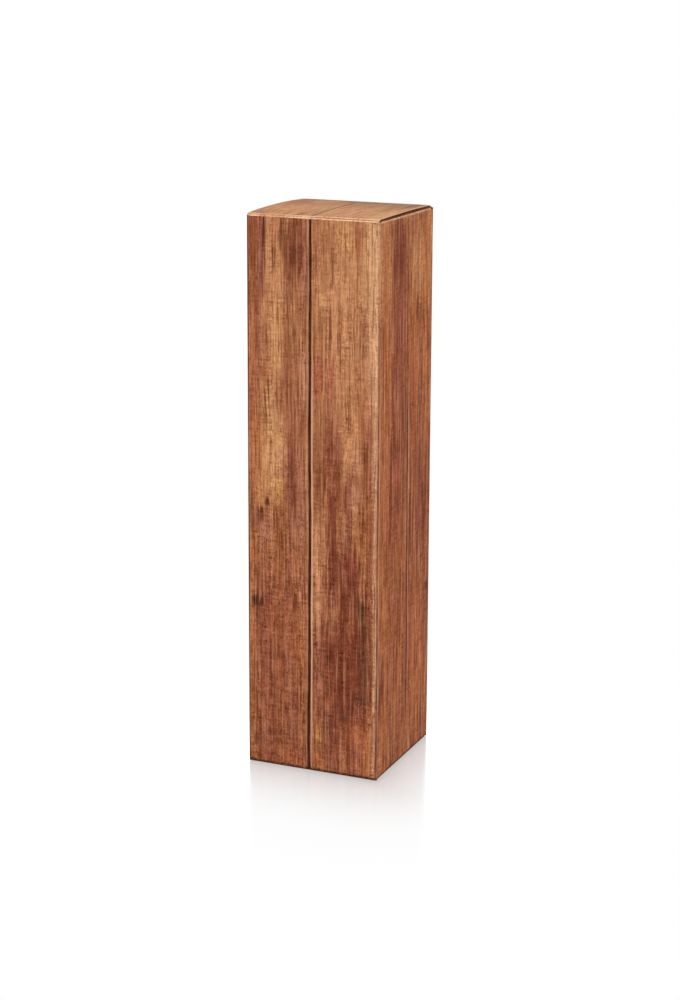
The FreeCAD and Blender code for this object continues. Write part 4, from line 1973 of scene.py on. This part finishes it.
@dataclass
class Studio:
    """Camera, lights, floor and white surround.

    The camera's focal length, middle and frame height are in pixels of the picture, and its offset and
    distance in millimetres. The floor's side and drop are in metres. It mixes gloss into its plain white, and
    lets a near and a far shadow show round the carton's foot: each has a reach in millimetres and a strength.
    """

    azimuth: float = 23.352
    elevation: float = 11.842
    roll: float = 0.231
    focal: float = 2123.9
    distance: float = 1374.0
    offset: Pair = (0.263, -55.25)
    middle_y: float = 400.0
    frame_height: float = 1000.0
    sensor: float = 36.0
    aim_z: float = 179.5
    ambient: float = 0.62
    floor_side: float = 6.0
    floor_drop: float = 0.00005
    floor_white: Colour = (0.92, 0.92, 0.92, 1.0)
    floor_gloss: float = 0.68
    floor_rough: float = 0.14
    foot_half: float = 45.0
    near_shadow: Pair = (85.0, 0.45)
    far_shadow: Pair = (140.0, 0.08)

    def build(self) -> None:
        """Set up the whole studio."""
        self.camera()
        self.lights()
        self.surround()
        self.floor()

    def camera(self) -> None:
        """Camera at the photograph's angle."""
        a, e, roll = (math.radians(x) for x in (self.azimuth, self.elevation, self.roll))
        right = Vector((math.cos(a), math.sin(a), 0))
        back = Vector((math.sin(a) * math.cos(e), -math.cos(a) * math.cos(e), math.sin(e)))
        up = back.cross(right)
        across = right * math.cos(roll) + up * math.sin(roll)
        upright = up * math.cos(roll) - right * math.sin(roll)
        place = Z * self.aim_z
        place -= across * self.offset[0] + upright * self.offset[1] - back * self.distance
        data = bpy.data.cameras.new("camera")
        data.sensor_fit = "AUTO"
        data.sensor_width = self.sensor
        data.lens = self.focal / self.frame_height * data.sensor_width
        data.shift_y = (self.middle_y - self.frame_height / 2) / self.frame_height
        made = bpy.data.objects.new("camera", data)
        turn = Matrix((across, upright, back)).transposed()
        made.matrix_world = Matrix.Translation(place * MM) @ turn.to_4x4()
        bpy.context.scene.collection.objects.link(made)
        bpy.context.scene.camera = made

    def lights(self) -> None:
        """Large soft lamps above, in front and at the side."""
        lamps = (
            Lamp("key_light", (-0.9, -1.6, 1.6), 1.2, 16.0),
            Lamp("side_light", (1.9, -0.5, 0.9), 1.0, 8.0),
            Lamp("top_light", (0.0, 0.3, 2.2), 1.4, 9.0),
            Lamp("back_light", (-0.6, 1.8, 1.1), 1.2, 7.0),
        )
        aim = Z * self.aim_z * MM
        for lamp in lamps:
            data = bpy.data.lights.new(lamp.name, "AREA")
            data.shape = "SQUARE"
            data.size = lamp.width
            data.energy = lamp.power
            made = bpy.data.objects.new(lamp.name, data)
            made.location = lamp.place
            made.rotation_euler = (aim - made.location).to_track_quat("-Z", "Y").to_euler()
            bpy.context.scene.collection.objects.link(made)

    def seen(self, r: Recipe) -> Signal:
        """Whether a ray comes from the camera, a reflection or glass.

        Args:
            r: the recipe to add to.

        Returns:
            1 if it does, or else 0.
        """
        camera = r.node("ShaderNodeLightPath", output="Is Camera Ray")
        rays = camera.socket.node.outputs
        glossy = r.math("MAXIMUM", camera, Signal(r, rays["Is Glossy Ray"]))
        return r.math("MAXIMUM", glossy, Signal(r, rays["Is Transmission Ray"]))

    def surround(self) -> None:
        """White surround that lights the carton softly."""
        r = Recipe(bpy.data.worlds.new("surround"))
        soft = r.node("ShaderNodeBackground", inputs={"Color": WHITE, "Strength": self.ambient})
        white = r.node("ShaderNodeBackground", inputs={"Color": WHITE, "Strength": 1.0})
        both = r.node("ShaderNodeMixShader", inputs={0: self.seen(r), 1: soft, 2: white})
        bpy.context.scene.world = r.ended(both, "ShaderNodeOutputWorld")

    def floor(self) -> None:
        """Pale floor that keeps a soft shadow and a faint reflection."""
        r = Recipe.named("floor")
        x, y, _ = r.place()
        beyond = [r.math("MAXIMUM", abs(part) - self.foot_half, 0.0) for part in (x, y)]
        away = r.length(r.vector(*beyond))
        plain = r.node("ShaderNodeBsdfDiffuse", inputs={"Color": self.floor_white})
        gloss = r.node("ShaderNodeBsdfGlossy", inputs={"Color": WHITE, "Roughness": self.floor_rough})
        glow = r.node("ShaderNodeEmission", inputs={"Color": WHITE, "Strength": 1.0})
        lit = r.node("ShaderNodeMixShader", inputs={0: self.floor_gloss, 1: plain, 2: gloss})
        near, far = ((1.0 - away / reach).clamped() for reach in (self.near_shadow[0], self.far_shadow[0]))
        shade = near * near * self.near_shadow[1] + far * self.far_shadow[1]
        share = self.seen(r) * (1.0 - shade)
        side, drop = self.floor_side, -self.floor_drop
        corners = [(-side, -side, drop), (side, -side, drop), (side, side, drop), (-side, side, drop)]
        mesh = bpy.data.meshes.new("floor")
        mesh.from_pydata(corners, [], [(0, 1, 2, 3)])
        mesh.materials.append(r.ended(r.node("ShaderNodeMixShader", inputs={0: share, 1: lit, 2: glow})))
        made = bpy.data.objects.new("floor", mesh)
        bpy.context.scene.collection.objects.link(made)


def main() -> None:
    """Build and dress the carton, then the studio."""
    logging.basicConfig(level=logging.INFO, format="%(name)s: %(message)s")
    bpy.context.scene.view_settings.view_transform = "Standard"
    sizes = Carton()
    finishes = Finishes()
    finishes.dress_packed(frame["nodes"])
    for part in (Walls, SideSeam, Lid, DustFlaps, Base):
        part(sizes, finishes).build()
    Studio().build()


if __name__ == "__main__":
    main()
